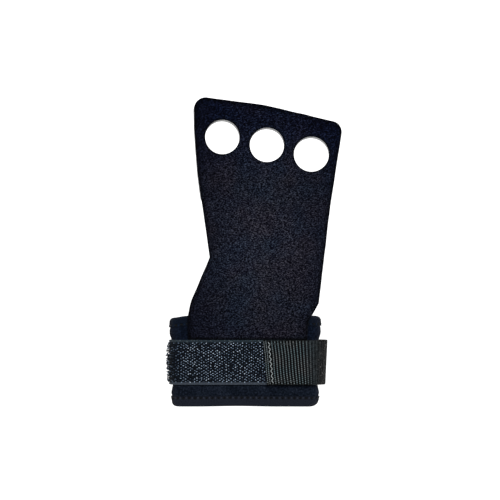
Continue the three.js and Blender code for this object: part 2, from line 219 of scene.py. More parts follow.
# ---------------------------------------------------------------- materials
class Nodes:
    def __init__(self, name):
        self.mat = bpy.data.materials.new(name)
        self.mat.use_nodes = True
        self.nt = self.mat.node_tree
        self.nt.nodes.clear()
        self.out = self.nt.nodes.new("ShaderNodeOutputMaterial")
        self.bsdf = self.nt.nodes.new("ShaderNodeBsdfPrincipled")
        self.nt.links.new(self.bsdf.outputs[0], self.out.inputs[0])
        self.cloth = self.nt.nodes.new("ShaderNodeAttribute")
        self.cloth.attribute_name = "cloth"

    def link(self, a, b):
        self.nt.links.new(a, b)

    def set(self, **kw):
        for k, v in kw.items():
            self.bsdf.inputs[k.replace("_", " ")].default_value = v

    def new(self, kind, **kw):
        n = self.nt.nodes.new(kind)
        for k, v in kw.items():
            setattr(n, k, v)
        return n

    def vec(self, scale=(1, 1, 1), offset=(0, 0, 0), source=None):
        m = self.new("ShaderNodeMapping")
        m.inputs["Scale"].default_value = scale
        m.inputs["Location"].default_value = offset
        self.link(source or self.cloth.outputs["Vector"], m.inputs["Vector"])
        return m.outputs[0]

    def noise(self, scale, detail=3, rough=0.55, vec=None, distortion=0.0):
        n = self.new("ShaderNodeTexNoise")
        n.inputs["Scale"].default_value = scale
        n.inputs["Detail"].default_value = detail
        n.inputs["Roughness"].default_value = rough
        n.inputs["Distortion"].default_value = distortion
        self.link(vec or self.cloth.outputs["Vector"], n.inputs["Vector"])
        return n.outputs["Fac"]

    def voronoi(self, scale, vec=None, feature="F1", out="Distance"):
        n = self.new("ShaderNodeTexVoronoi", feature=feature)
        n.inputs["Scale"].default_value = scale
        self.link(vec or self.cloth.outputs["Vector"], n.inputs["Vector"])
        return n.outputs[out]

    def wave(self, scale, axis="X", vec=None, distortion=0.0, profile="SIN"):
        n = self.new("ShaderNodeTexWave", bands_direction=axis, wave_profile=profile)
        n.inputs["Scale"].default_value = scale
        n.inputs["Distortion"].default_value = distortion
        n.inputs["Detail Scale"].default_value = 2
        self.link(vec or self.cloth.outputs["Vector"], n.inputs["Vector"])
        return n.outputs["Fac"]

    def math(self, op, a, b=None, c=None):
        n = self.new("ShaderNodeMath", operation=op)
        for i, x in enumerate((a, b, c)):
            if x is None:
                continue
            if isinstance(x, (int, float)):
                n.inputs[i].default_value = x
            else:
                self.link(x, n.inputs[i])
        return n.outputs[0]

    def ramp(self, fac, stops):
        n = self.new("ShaderNodeValToRGB")
        e = n.color_ramp.elements
        while len(e) < len(stops):
            e.new(0.5)
        for i, (p, c) in enumerate(stops):
            e[i].position = p
            e[i].color = (*c, 1) if len(c) == 3 else c
        self.link(fac, n.inputs[0])
        return n.outputs[0]

    def mix(self, fac, a, b, blend="MIX"):
        n = self.new("ShaderNodeMix", data_type="RGBA", blend_type=blend)
        for i, x in ((0, fac), (6, a), (7, b)):
            if isinstance(x, (int, float)):
                n.inputs[i].default_value = x
            elif isinstance(x, tuple):
                n.inputs[i].default_value = (*x, 1)
            else:
                self.link(x, n.inputs[i])
        return n.outputs[2]

    def remap(self, x, a, b, lo, hi):
        n = self.new("ShaderNodeMapRange")
        n.inputs["From Min"].default_value = a
        n.inputs["From Max"].default_value = b
        n.inputs["To Min"].default_value = lo
        n.inputs["To Max"].default_value = hi
        self.link(x, n.inputs["Value"])
        return n.outputs[0]

    def bump(self, height, distance, strength=1.0, before=None):
        n = self.new("ShaderNodeBump")
        n.inputs["Distance"].default_value = distance
        n.inputs["Strength"].default_value = strength
        self.link(height, n.inputs["Height"])
        if before is not None:
            self.link(before, n.inputs["Normal"])
        return n.outputs[0]

    def done(self, color=None, rough=None, normal=None):
        if color is not None:
            self.link(color, self.bsdf.inputs["Base Color"])
        if rough is not None:
            self.link(rough, self.bsdf.inputs["Roughness"])
        if normal is not None:
            self.link(normal, self.bsdf.inputs["Normal"])
        return self.mat


def suede_material():
    m = Nodes("suede")
    m.bsdf.inputs["Specular IOR Level"].default_value = 0.025
    m.bsdf.inputs["Sheen Weight"].default_value = 0.02
    m.bsdf.inputs["Sheen Roughness"].default_value = 0.5
    m.bsdf.inputs["Sheen Tint"].default_value = (0.4, 0.5, 0.85, 1)
    def streaks(angle, sx, sy):
        v = m.new("ShaderNodeMapping", vector_type="TEXTURE")
        v.inputs["Rotation"].default_value = (0, 0, angle)
        v.inputs["Scale"].default_value = (1 / sx, 1 / sy, 1)
        m.link(m.cloth.outputs["Vector"], v.inputs["Vector"])
        return m.noise(1.0, 2, 0.5, vec=v.outputs[0], distortion=0.6)

    side = m.remap(m.noise(0.22, 2, 0.5), 0.42, 0.58, 0, 1)
    s1, s2 = streaks(0.28, 0.95, 1.9), streaks(-0.2, 1.05, 2.0)
    fine = m.math("ADD", m.math("MULTIPLY", s1, side), m.math("MULTIPLY", s2, m.math("SUBTRACT", 1.0, side)))
    nap = m.noise(0.5, 3, 0.6, distortion=1.5)
    cloud = m.noise(0.06, 2, 0.5)
    sep = m.new("ShaderNodeSeparateXYZ")
    m.link(m.cloth.outputs["Vector"], sep.inputs[0])
    mixed = m.math("MULTIPLY_ADD", nap, 0.22, m.math("MULTIPLY", fine, 0.78))
    # the finger end is drawn darker: its tone is shifted down towards it
    worn = m.remap(sep.outputs[1], 45, 72, 0.0, 0.03)
    mixed = m.math("SUBTRACT", mixed, worn)
    tone = m.ramp(
        mixed,
        [
            (0.43, (0.0001, 0.0001, 0.0006)), (0.47, (0.0013, 0.0014, 0.0040)),
            (0.51, (0.0052, 0.0055, 0.0105)), (0.55, (0.0134, 0.0140, 0.0220)), (0.60, (0.0295, 0.0305, 0.0430)),
        ],
    )
    hue = m.mix(m.remap(cloud, 0.35, 0.65, 0, 1), (0.74, 0.97, 1.05), (1.05, 1.0, 0.94))
    color = m.mix(1.0, tone, hue, "MULTIPLY")
    # the middle of the palm is drawn paler; towards the finger end and the cut edges the sheet is darker and bluer,
    # and towards the left a little darker and warmer
    def sq(v, mid, reach):
        d = m.math("DIVIDE", m.math("SUBTRACT", v, mid), reach)
        return m.math("MULTIPLY", d, d)

    ring = m.math("SQRT", m.math("ADD", sq(sep.outputs[0], 6.0, 40.0), sq(sep.outputs[1], 4.0, 74.0)))
    ring = m.math("MULTIPLY_ADD", m.noise(0.035, 2, 0.5), 0.3, ring)
    zone = m.ramp(m.remap(ring, 0.45, 1.4, 0, 1), [(0.0, (1.1, 1.1, 1.08)), (0.45, (0.72, 0.72, 0.76)), (1.0, (0.34, 0.36, 0.5))])
    color = m.mix(1.0, color, zone, "MULTIPLY")
    color = m.mix(m.remap(sep.outputs[1], 40, 66, 0, 1), color, m.mix(1.0, color, (1.0, 1.16, 1.44), "MULTIPLY"))
    color = m.mix(m.remap(sep.outputs[0], -14, -34, 0, 1), color, m.mix(1.0, color, (0.93, 0.88, 0.84), "MULTIPLY"))
    # painted shade: the sheet is drawn near black within a few mm of every cut edge, and in a dark band along the
    # tape's edge, where shade falls
    rim = m.remap(m.math("MODULO", sep.outputs[2], 40.0), 0.4, 3.0, 0.28, 1.0)
    tape_edge_shade = m.remap(sep.outputs[1], -48.9, -47.2, 0.12, 1.0)
    color = m.mix(1.0, color, m.math("MULTIPLY", rim, tape_edge_shade), "MULTIPLY")
    rough = m.remap(fine, 0.3, 0.7, 0.85, 1.0)
    n1 = m.bump(nap, 0.0006, 0.5)
    n2 = m.bump(fine, 0.0004, 0.6, before=n1)
    return m.done(color, rough, n2)


def fold_shade(m, s):
    """Painted shade round the wristband's two folds, where its sides turn away from the light: s is the distance
    round it.
    """
    out = None
    for mid in (PI * CR / 2, PI * CR * 1.5 + CXR - CXL):
        away = m.math("ABSOLUTE", m.math("SUBTRACT", s, mid))
        one = m.remap(away, 1.5, 6.0, 0.42, 1.0)
        out = one if out is None else m.math("MULTIPLY", out, one)
    return out


def knit_material(name, dark, mid, light, scale=2.4, spec=0.03, rough=0.88):
    m = Nodes(name)
    m.bsdf.inputs["Specular IOR Level"].default_value = spec
    m.bsdf.inputs["Sheen Weight"].default_value = 0.04
    m.bsdf.inputs["Sheen Tint"].default_value = (0.4, 0.5, 0.8, 1)
    rows = m.wave(scale, "Y", distortion=0.6)
    cols = m.wave(scale * 1.1, "X", distortion=0.6)
    knit = m.math("MULTIPLY", rows, cols)
    blot = m.noise(0.12, 3, 0.5)
    grain = m.noise(2.6, 3, 0.6)
    fleck = m.noise(1.15, 2, 0.6, distortion=0.5)
    fac = m.math("MULTIPLY_ADD", knit, 0.12, m.math("MULTIPLY_ADD", fleck, 0.75, m.math("MULTIPLY", blot, 0.25)))
    color = m.ramp(fac, [(0.4, dark), (0.54, mid), (0.68, light)])
    # painted shade: the band towards the palm is drawn darker, standing in for the strap's shade
    own = m.new("ShaderNodeSeparateXYZ")
    m.link(m.cloth.outputs["Vector"], own.inputs[0])
    shade = m.mix(1.0, color, (0.38, 0.5, 0.68), "MULTIPLY")
    color = m.mix(m.remap(own.outputs[1], -62, -50, 0, 1), color, shade)
    color = m.mix(1.0, color, fold_shade(m, own.outputs[0]), "MULTIPLY")
    r = m.remap(grain, 0.3, 0.7, rough - 0.06, rough + 0.1)
    n1 = m.bump(knit, 0.00012, 0.6)
    n2 = m.bump(grain, 0.00025, 0.4, before=n1)
    return m.done(color, r, n2)


def binding_material():
    m = Nodes("binding")
    m.bsdf.inputs["Specular IOR Level"].default_value = 0.04
    m.bsdf.inputs["Sheen Weight"].default_value = 0.03
    m.bsdf.inputs["Sheen Tint"].default_value = (0.4, 0.5, 0.8, 1)
    flat = m.vec((1, 1, 0))
    rib = m.wave(1.45, "X", vec=flat, distortion=0.3)
    weft = m.wave(3.2, "Y", vec=flat, distortion=0.3)
    grain = m.noise(1.3, 3, 0.65, vec=flat)
    fac = m.math("MULTIPLY_ADD", rib, 0.4, m.math("MULTIPLY_ADD", weft, 0.15, m.math("MULTIPLY", grain, 0.45)))
    color = m.ramp(fac, [(0.32, (0.0002, 0.0006, 0.002)), (0.52, (0.0042, 0.0058, 0.0105)), (0.74, (0.0205, 0.0235, 0.034))])
    sep = m.new("ShaderNodeSeparateXYZ")
    m.link(m.cloth.outputs["Vector"], sep.inputs[0])
    # painted shade: where z is high, at the stitch pits and the gap by the outer leg's edge, the binding is drawn
    # near black; where z is negative, between the stitches, it is drawn paler
    color = m.mix(m.remap(sep.outputs[2], 0.15, 0.75, 0, 0.97), color, (0.0002, 0.0003, 0.0006))
    color = m.mix(m.remap(sep.outputs[2], -0.9, -0.3, 0.85, 0), color, m.mix(1.0, color, (3.0, 2.8, 2.5), "MULTIPLY"))
    # painted shade: the palm-side hem is drawn darker, standing in for the shade on its lower, rounded rim
    color = m.mix(m.remap(sep.outputs[1], -44, -42, 0, 1), color, m.mix(1.0, color, (0.14, 0.34, 0.56), "MULTIPLY"))
    color = m.mix(1.0, color, fold_shade(m, sep.outputs[0]), "MULTIPLY")
    n1 = m.bump(rib, 0.0002, 0.6)
    n2 = m.bump(weft, 0.00008, 0.5, before=n1)
    return m.done(color, m.remap(grain, 0.3, 0.7, 0.68, 0.85), n2)


def thread_material(name="thread", color=(0.008, 0.009, 0.013), spec=0.4):
    m = Nodes(name)
    m.bsdf.inputs["Specular IOR Level"].default_value = spec
    v = m.new("ShaderNodeMapping")
    v.inputs["Scale"].default_value = (9, 4, 1)
    v.inputs["Rotation"].default_value = (0, 0, 0.8)
    m.link(m.cloth.outputs["Vector"], v.inputs["Vector"])
    ply = m.wave(0.5, "X", vec=v.outputs[0])
    tone = m.ramp(ply, [(0.1, tuple(c * 0.5 for c in color)), (0.9, tuple(c * 1.5 for c in color))])
    return m.done(tone, m.remap(ply, 0, 1, 0.5, 0.65), m.bump(ply, 0.00008, 0.6))


def tape_material():
    m = Nodes("hook_tape_weave")
    m.bsdf.inputs["Specular IOR Level"].default_value = 0.06
    a = m.wave(1.9, "X", distortion=0.5)
    b = m.wave(2.6, "Y", distortion=0.5)
    grain = m.noise(1.2, 3, 0.6)
    fac = m.math("MULTIPLY_ADD", a, 0.35, m.math("MULTIPLY_ADD", b, 0.25, m.math("MULTIPLY", grain, 0.4)))
    sep = m.new("ShaderNodeSeparateXYZ")
    m.link(m.cloth.outputs["Vector"], sep.inputs[0])
    off = m.math("ABSOLUTE", m.math("ADD", sep.outputs[1], 61.8))
    selvage = m.remap(off, 10.9, 11.4, 0, 1)
    fleck = m.noise(0.55, 3, 0.7, distortion=0.6)
    field = m.ramp(fac, [(0.3, (0.0002, 0.0006, 0.0016)), (0.8, (0.0055, 0.0085, 0.0140))])
    low = m.ramp(fac, [(0.25, (0.016, 0.022, 0.032)), (0.8, (0.09, 0.109, 0.142))])
    high = m.ramp(fac, [(0.3, (0.003, 0.009, 0.016)), (0.75, (0.028, 0.045, 0.06)), (0.88, (0.3, 0.36, 0.38))])
    high = m.mix(m.remap(fleck, 0.62, 0.72, 0, 0.9), high, (0.22, 0.27, 0.3))
    bands = m.mix(m.remap(sep.outputs[1], -62, -61, 0, 1), low, high)
    color = m.mix(selvage, field, bands)
    n1 = m.bump(a, 0.00015, 0.7)
    n2 = m.bump(b, 0.00012, 0.7, before=n1)
    return m.done(color, m.remap(grain, 0.3, 0.7, 0.5, 0.72), n2)


def hook_material():
    m = Nodes("hook_filament")
    m.bsdf.inputs["Specular Tint"].default_value = (0.7, 0.85, 1.0, 1)
    own = m.new("ShaderNodeSeparateXYZ")
    m.link(m.cloth.outputs["Vector"], own.inputs[0])
    # painted highlights: the hooks are black nylon, drawn in paler tones that vary from hook to hook and brightest in
    # a band at each hook's apex, standing in for glints
    tone = m.ramp(own.outputs[2], [(0.0, (0.001, 0.0016, 0.0026)), (0.14, (0.045, 0.07, 0.114)), (0.45, (0.17, 0.24, 0.34)), (0.8, (0.37, 0.48, 0.63)), (1.0, (0.62, 0.74, 0.9))])
    lift = m.ramp(own.outputs[0], [(0.0, (0.02, 0.02, 0.02)), (0.4, (0.12, 0.12, 0.12)), (0.6, (0.9, 0.9, 0.9)), (0.78, (0.9, 0.9, 0.9)), (1.0, (0.12, 0.12, 0.12))])
    m.link(m.remap(own.outputs[2], 0.06, 0.3, 0.05, 0.9), m.bsdf.inputs["Specular IOR Level"])
    return m.done(m.mix(1.0, tone, lift, "MULTIPLY"), m.remap(own.outputs[2], 0, 1, 0.34, 0.5))


def webbing_material():
    m = Nodes("webbing")
    m.bsdf.inputs["Specular IOR Level"].default_value = 0.08
    sep = m.new("ShaderNodeSeparateXYZ")
    m.link(m.cloth.outputs["Vector"], sep.inputs[0])
    # z of the fabric coordinate holds the rib height, 0 in the groove to 1 on the crown
    grain = m.noise(1.1, 3, 0.6)
    yarn = m.wave(1.5, "Y", distortion=1.0)
    worn = m.noise(0.1, 3, 0.5)
    h = m.math("MULTIPLY_ADD", yarn, 0.16, m.math("MULTIPLY", sep.outputs[2], 0.84))
    # painted light and shade: the rib crowns are drawn bright and the grooves near black, standing in for lit crowns
    # and shaded grooves
    crown = m.ramp(h, [(0.55, (0.0001, 0.0002, 0.0003)), (0.77, (0.003, 0.004, 0.0046)), (0.88, (0.105, 0.127, 0.138)), (0.97, (0.25, 0.29, 0.305))])
    tint = m.mix(m.remap(worn, 0.35, 0.65, 0, 1), (0.8, 0.95, 0.98), (1.18, 1.05, 1.0))
    color = m.mix(1.0, crown, tint, "MULTIPLY")
    color = m.mix(1.0, color, m.ramp(grain, [(0.2, (0.6, 0.6, 0.6)), (0.75, (1.35, 1.35, 1.35))]), "MULTIPLY")
    # painted shade: the top of the turn, where it curves away from the light, is drawn darker and without the painted
    # rib light; dust specks lie on it
    u = sep.outputs[0]
    low = m.remap(u, U_TURN - 23.0, U_TURN - 15.5, 0, 1)
    turn = m.math("MULTIPLY", m.remap(u, U_TURN - 4.0, U_TURN - 9.5, 0, 1), low)
    speck = m.noise(1.35, 2, 0.55, distortion=0.1)
    shade_and_dust = m.ramp(speck, [(0.42, (0.0001, 0.0002, 0.0002)), (0.54, (0.0022, 0.0025, 0.0027)), (0.61, (0.0150, 0.0152, 0.0152)), (0.68, (0.09, 0.087, 0.084)), (0.76, (0.32, 0.31, 0.3))])
    plain = m.ramp(m.noise(0.7, 3, 0.6), [(0.34, (0.0008, 0.0016, 0.0022)), (0.5, (0.0058, 0.0082, 0.0100)), (0.66, (0.0200, 0.0255, 0.0285))])
    smooth = m.math("MULTIPLY", m.remap(u, U_TURN + 2.0, U_TURN - 4.6, 0, 0.84), low)
    color = m.mix(smooth, color, plain)
    color = m.mix(m.math("MULTIPLY", turn, 0.92), color, shade_and_dust)
    # painted shade: at the turn its two selvages are drawn near black, where the fold's edges turn away from the
    # light
    side = m.math("ABSOLUTE", m.math("ADD", sep.outputs[1], 61.8))
    color = m.mix(m.math("MULTIPLY", m.remap(side, 11.2, 12.0, 0, 0.95), turn), color, (0.0003, 0.0003, 0.0003))
    n1 = m.bump(yarn, 0.00012, 0.7)
    n2 = m.bump(m.noise(4, 2, 0.6), 0.00008, 0.6, before=n1)
    return m.done(color, m.remap(grain, 0.3, 0.7, 0.48, 0.7), n2)


def loop_material():
    m = Nodes("loop_pile")
    m.bsdf.inputs["Specular IOR Level"].default_value = 0.15
    m.bsdf.inputs["Sheen Weight"].default_value = 0.2
    g = m.noise(2.4, 4, 0.7, distortion=1.5)
    return m.done(
        m.ramp(g, [(0.3, (0.004, 0.0045, 0.006)), (0.7, (0.024, 0.026, 0.031))]), None, m.bump(g, 0.0005, 0.8)
    )


SUEDE = suede_material()
NEOPRENE = knit_material("neoprene_jersey", (0.0001, 0.0006, 0.0018), (0.0032, 0.0054, 0.0105), (0.0125, 0.0165, 0.0265))
LINING = knit_material("lining_jersey", (0.002, 0.0024, 0.004), (0.005, 0.006, 0.009), (0.011, 0.012, 0.017), 1.9)
BINDING = binding_material()
THREAD = thread_material("thread", (0.0012, 0.0014, 0.0022), 0.1)
STRAP_THREAD = thread_material("strap_thread", (0.018, 0.021, 0.023), 0.25)
TIP_THREAD = thread_material("tip_thread", (0.2, 0.225, 0.23), 0.4)
TAPE = tape_material()
HOOK = hook_material()
WEB = webbing_material()
LOOP = loop_material()

# ---------------------------------------------------------------- suede sheet
OUTLINE = [
    (-34.08, 87.45, 6.4), (6.19, 82.26, 70), (49.86, 71.85, 6.2), (42.59, 25.48, 90),
    (35.92, -28.84, 2.6), (29.99, -39.48, 3), (28.59, -68.6, 1.5), (-36.65, -68.6, 1.5),
    (-37.44, -37.24, 5), (-35.76, -28.56, 24), (-25.12, -3.25, 0.8), (-31.84, 42.28, 110),
    (-33.85, 69.16, 50),
]


def rounded(corners, step=0.12):
    out, n = [], len(corners)
    for i in range(n):
        p = np.array(corners[i][:2])
        a, b = np.array(corners[i - 1][:2]), np.array(corners[(i + 1) % n][:2])
        r = corners[i][2]
        u, v = a - p, b - p
        room = 0.49 * min(np.hypot(*u), np.hypot(*v))
        u, v = u / np.hypot(*u), v / np.hypot(*v)
        inner = math.acos(max(-1, min(1, float(u @ v))))
        turn = PI - inner
        cut = min(r / math.tan(inner / 2), room)
        rad = cut * math.tan(inner / 2)
        mid = (u + v) / np.hypot(*(u + v))
        c = p + mid * math.hypot(cut, rad)
        f = p + u * cut
        a0 = math.atan2(f[1] - c[1], f[0] - c[0])
        sign = -1 if u[0] * v[1] - u[1] * v[0] > 0 else 1
        steps = max(2, math.ceil(turn / step))
        for k in range(steps + 1):
            t = a0 + sign * turn * k / steps
            out.append((c[0] + rad * math.cos(t), c[1] + rad * math.sin(t)))
    return np.array(out)


def resample(loop, step):
    p = np.vstack([loop, loop[:1]])
    seg = np.hypot(*np.diff(p, axis=0).T)
    s = np.concatenate([[0], np.cumsum(seg)])
    n = max(8, int(round(s[-1] / step)))
    q = np.linspace(0, s[-1], n, endpoint=False)
    return np.stack([np.interp(q, s, p[:, 0]), np.interp(q, s, p[:, 1])], 1)


def loop_normals(loop):
    t = np.roll(loop, -1, 0) - np.roll(loop, 1, 0)
    t /= np.linalg.norm(t, axis=1)[:, None]
    return np.stack([-t[:, 1], t[:, 0]], 1)  # left of travel


def inside(points, loop):
    x, y = points[:, 0], points[:, 1]
    r = np.zeros(len(points), bool)
    a, b = loop, np.roll(loop, -1, 0)
    for (x0, y0), (x1, y1) in zip(a, b):
        hit = ((y0 > y) != (y1 > y)) & (x < (x1 - x0) * (y - y0) / (y1 - y0 + 1e-12) + x0)
        r ^= hit
    return r


def edge_distance(points, loops):
    d = np.full(len(points), 1e9)
    for loop in loops:
        a, b = loop, np.roll(loop, -1, 0)
        for p, q in zip(a, b):
            ab = q - p
            t = np.clip(((points - p) @ ab) / (ab @ ab + 1e-12), 0, 1)
            e = points - (p + t[:, None] * ab)
            d = np.minimum(d, np.hypot(e[:, 0], e[:, 1]))
    return d


def sheet_z(y):
    t = np.clip((y - SLOPE0) / (SLOPE1 - SLOPE0), 0, 1)
    return SUEDE_Z + (REST_Z - SUEDE_Z) * t * t * (3 - 2 * t)


def sheet_points(xy, h):
    """Points of the sheet at plan place xy and height h from its mid plane."""
    x, y = xy[:, 0], xy[:, 1]
    p3 = np.stack([x, y, np.zeros_like(x)], 1)
    free = sstep(y, -34, -20) * (1 - sstep(y, 16, 34))
    wave = 0.55 * noise(p3, (26, 20, 9), 5) * free + 0.5 * free * (x / 40) ** 2
    # the finger end lies flat, only its corners and edges lift a little
    lift = sstep(y, 56, 88) * (0.25 + 0.5 * sstep(np.abs(x - 4), 20, 46))
    slope = (sheet_z(y + 0.2) - sheet_z(y - 0.2)) / 0.4
    nrm = np.hypot(1, slope)
    nx, ny, nz = np.zeros_like(x), -slope / nrm, 1 / nrm
    nap = 0.055 * noise(p3 + h[:, None] * 3, 1.7, 11) + 0.06 * noise(p3, 4.5, 12)
    hh = h + np.where(h > 0, nap, -nap * 0.4) * sstep(np.abs(h), 0.5, 1.0)
    z = sheet_z(y) + wave + lift
    out = np.stack([x + nx * hh, y + ny * hh, z + nz * hh], 1)
    out[:, 2] = np.maximum(out[:, 2], np.where(y > 20, 0.0, -9))
    return out


def suede_pieces():
    loops = [resample(rounded(OUTLINE), 0.8)]
    # outer loop runs clockwise or not: make the material lie on the left of travel
    area = 0.5 * np.sum(
        loops[0][:, 0] * np.roll(loops[0][:, 1], -1) - np.roll(loops[0][:, 0], -1) * loops[0][:, 1]
    )
    if area < 0:
        loops[0] = loops[0][::-1].copy()
    for hx, hy, r in HOLES:
        n = 84
        t = -2 * PI * np.arange(n) / n
        loops.append(np.stack([hx + r * np.cos(t), hy + r * np.sin(t)], 1))
    # tiny unevenness of a cut edge
    for i, lp in enumerate(loops):
        nr = loop_normals(lp)
        w = noise(np.stack([lp[:, 0], lp[:, 1], np.full(len(lp), i * 7.0)], 1), 6.0, 21)
        loops[i] = lp + nr * (w * (0.12 if i == 0 else 0.05))[:, None]
    split = 30.0
    half, rad = SUEDE_T / 2, 0.75
    rows = [0.0, 0.09, 0.24, 0.48, 0.8]
    pts, hs, on_edge = [], [], []
    edges = []
    for lp in loops:
        nr = loop_normals(lp)
        for k, d in enumerate(rows):
            base = sum(len(p) for p in pts)
            pts.append(lp + nr * d)
            prof = half - rad + math.sqrt(max(0.0, rad**2 - (rad - min(d, rad)) ** 2))
            hs.append(np.full(len(lp), prof))
            on_edge.append(np.full(len(lp), k == 0))
            if k == 0:
                edges += [(base + i, base + (i + 1) % len(lp)) for i in range(len(lp))]
    step = 0.95
    gx = np.arange(-40, 54, step)
    gy = np.arange(-70, 89, step * 0.866)
    X, Y = np.meshgrid(gx, gy)
    X = X + (np.arange(len(gy)) % 2)[:, None] * step / 2
    g = np.stack([X.ravel(), Y.ravel()], 1)
    g = g[inside(g, loops[0])]
    for lp in loops[1:]:
        g = g[~inside(g, lp)]
    g = g[edge_distance(g, loops) > 1.3]
    g = g[np.abs(g[:, 1] - split) > 0.45]
    pts.append(g)
    hs.append(np.full(len(g), half))
    on_edge.append(np.zeros(len(g), bool))
    # the split line runs from edge to edge
    sx = np.arange(-60, 60, 0.8)
    line = np.stack([sx, np.full(len(sx), split)], 1)
    line = line[inside(line, loops[0])]
    line = line[edge_distance(line, loops) > 1.3]
    row = np.concatenate(pts)
    # move the nearest edge-row point of each side onto the split line
    for sgn in (-1, 1):
        base = 0
        n0 = len(loops[0])
        for k in range(len(rows)):
            seg = row[base : base + n0]
            side = seg[:, 0] * sgn > 5
            idx = np.where(side)[0]
            j = idx[np.argmin(np.abs(seg[idx, 1] - split))]
            seg[j, 1] = split
            base += n0
    allp = np.vstack([row, line])
    hs = np.concatenate(hs + [np.full(len(line), half)])
    on_edge = np.concatenate(on_edge + [np.zeros(len(line), bool)])
    chain = np.where(np.abs(allp[:, 1] - split) < 1e-9)[0]
    chain = chain[np.argsort(allp[chain, 0])]
    edges += [(int(chain[i]), int(chain[i + 1])) for i in range(len(chain) - 1)]
    vs, es, fs, *_ = geometry.delaunay_2d_cdt(
        [Vector(p) for p in allp.tolist()], edges, [], 0, 1e-7
    )
    assert len(vs) == len(allp), (len(vs), len(allp))
    tri = np.array([tuple(f) for f in fs])
    cen = allp[tri].mean(1)
    ok = inside(cen, loops[0])
    for lp in loops[1:]:
        ok &= ~inside(cen, lp)
    tri, cen = tri[ok], cen[ok]
    a, b, c = (allp[tri[:, k]] for k in range(3))
    cross = (b - a)[:, 0] * (c - a)[:, 1] - (b - a)[:, 1] * (c - a)[:, 0]
    tri[cross < 0] = tri[cross < 0][:, ::-1]
    rim = np.minimum(edge_distance(allp, loops[:1]), edge_distance(allp, loops[1:]) * 1.5 + 0.5)
    rim = np.clip(rim + 0.35 * noise(np.column_stack([allp, np.zeros(len(allp))]), 2.2, 14), 0, 6)
    top = sheet_points(allp, hs)
    bottom = sheet_points(allp, -hs)
    out = []
    for name, keep in (("suede_lower", cen[:, 1] < split), ("suede_upper", cen[:, 1] >= split)):
        t = tri[keep]
        used = np.unique(t)
        back = np.full(len(allp), -1)
        back[used] = np.arange(len(used))
        n = len(used)
        t2 = back[t]
        faces = [tuple(f) for f in t2] + [(f[2] + n, f[1] + n, f[0] + n) for f in t2]
        # walls along every border edge of this half
        count = {}
        for f in t2:
            for e in ((f[0], f[1]), (f[1], f[2]), (f[2], f[0])):
                count[e] = 1
        cap = []
        for (p, q) in count:
            if (q, p) not in count:
                faces.append((q, p, p + n, q + n))
                if abs(allp[used[p], 1] - split) < 1e-9 and abs(allp[used[q], 1] - split) < 1e-9:
                    cap.append(len(faces) - 1)
        verts = np.vstack([top[used], bottom[used]])
        flat = np.vstack([
            np.column_stack([allp[used], rim[used]]),
            np.column_stack([allp[used], 40.0 + rim[used]]),
        ])
        o = make(name, verts, faces, SUEDE, coords=flat)
        me = o.data
        # the cut between the halves stays crisp, so both halves shade as one sheet
        capped = set(cap)
        flags = np.zeros(len(me.polygons), bool)
        for i in capped:
            flags[i] = True
        at = me.attributes.new("sharp_edge", "BOOLEAN", "EDGE") if "sharp_edge" not in me.attributes else me.attributes["sharp_edge"]
        ekey = {tuple(sorted(e.vertices)): e.index for e in me.edges}
        sharp = np.zeros(len(me.edges), bool)
        for i in capped:
            vsn = me.polygons[i].vertices
            for k in range(4):
                sharp[ekey[tuple(sorted((vsn[k], vsn[(k + 1) % 4])))]] = True
        at.data.foreach_set("value", sharp)
        flat_faces = me.attributes.get("sharp_face") or me.attributes.new("sharp_face", "BOOLEAN", "FACE")
        flat_faces.data.foreach_set("value", flags)
        ab, ac = allp[t[:, 1]] - allp[t[:, 0]], allp[t[:, 2]] - allp[t[:, 0]]
        area = float(0.5 * np.abs(ab[:, 0] * ac[:, 1] - ab[:, 1] * ac[:, 0]).sum())
        span = allp[used]
        out.append((o, area, span[:, 0].min(), span[:, 0].max(), span[:, 1].min(), span[:, 1].max()))
    return out


lower, upper = suede_pieces()
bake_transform(lower[0])
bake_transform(upper[0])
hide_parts("suede_anchor", "suede_wrist_bend", "suede_palm")
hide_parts("suede_finger_bend", "suede_finger_end")


# ---------------------------------------------------------------- wristband
STRAIGHT = CXR - CXL
ARC = PI * CR
PERIM = 2 * STRAIGHT + 2 * ARC


def oval(s):
    """Place and outward normal (x, z) at distance s round the outer face. s = 0 is under the right fold's start."""
    s = np.mod(np.asarray(s, float), PERIM)
    x, z, nx, nz = (np.zeros_like(s) for _ in range(4))
    m = s < ARC
    t = -PI / 2 + s[m] / CR
    x[m], z[m], nx[m], nz[m] = CXR + CR * np.cos(t), CZ + CR * np.sin(t), np.cos(t), np.sin(t)
    m = (s >= ARC) & (s < ARC + STRAIGHT)
    x[m], z[m], nz[m] = CXR - (s[m] - ARC), CZ + CR, 1
    m = (s >= ARC + STRAIGHT) & (s < 2 * ARC + STRAIGHT)
    t = PI / 2 + (s[m] - ARC - STRAIGHT) / CR
    x[m], z[m], nx[m], nz[m] = CXL + CR * np.cos(t), CZ + CR * np.sin(t), np.cos(t), np.sin(t)
    m = s >= 2 * ARC + STRAIGHT
    x[m], z[m], nz[m] = CXL + (s[m] - 2 * ARC - STRAIGHT), CZ - CR, -1
    return x, z, nx, nz


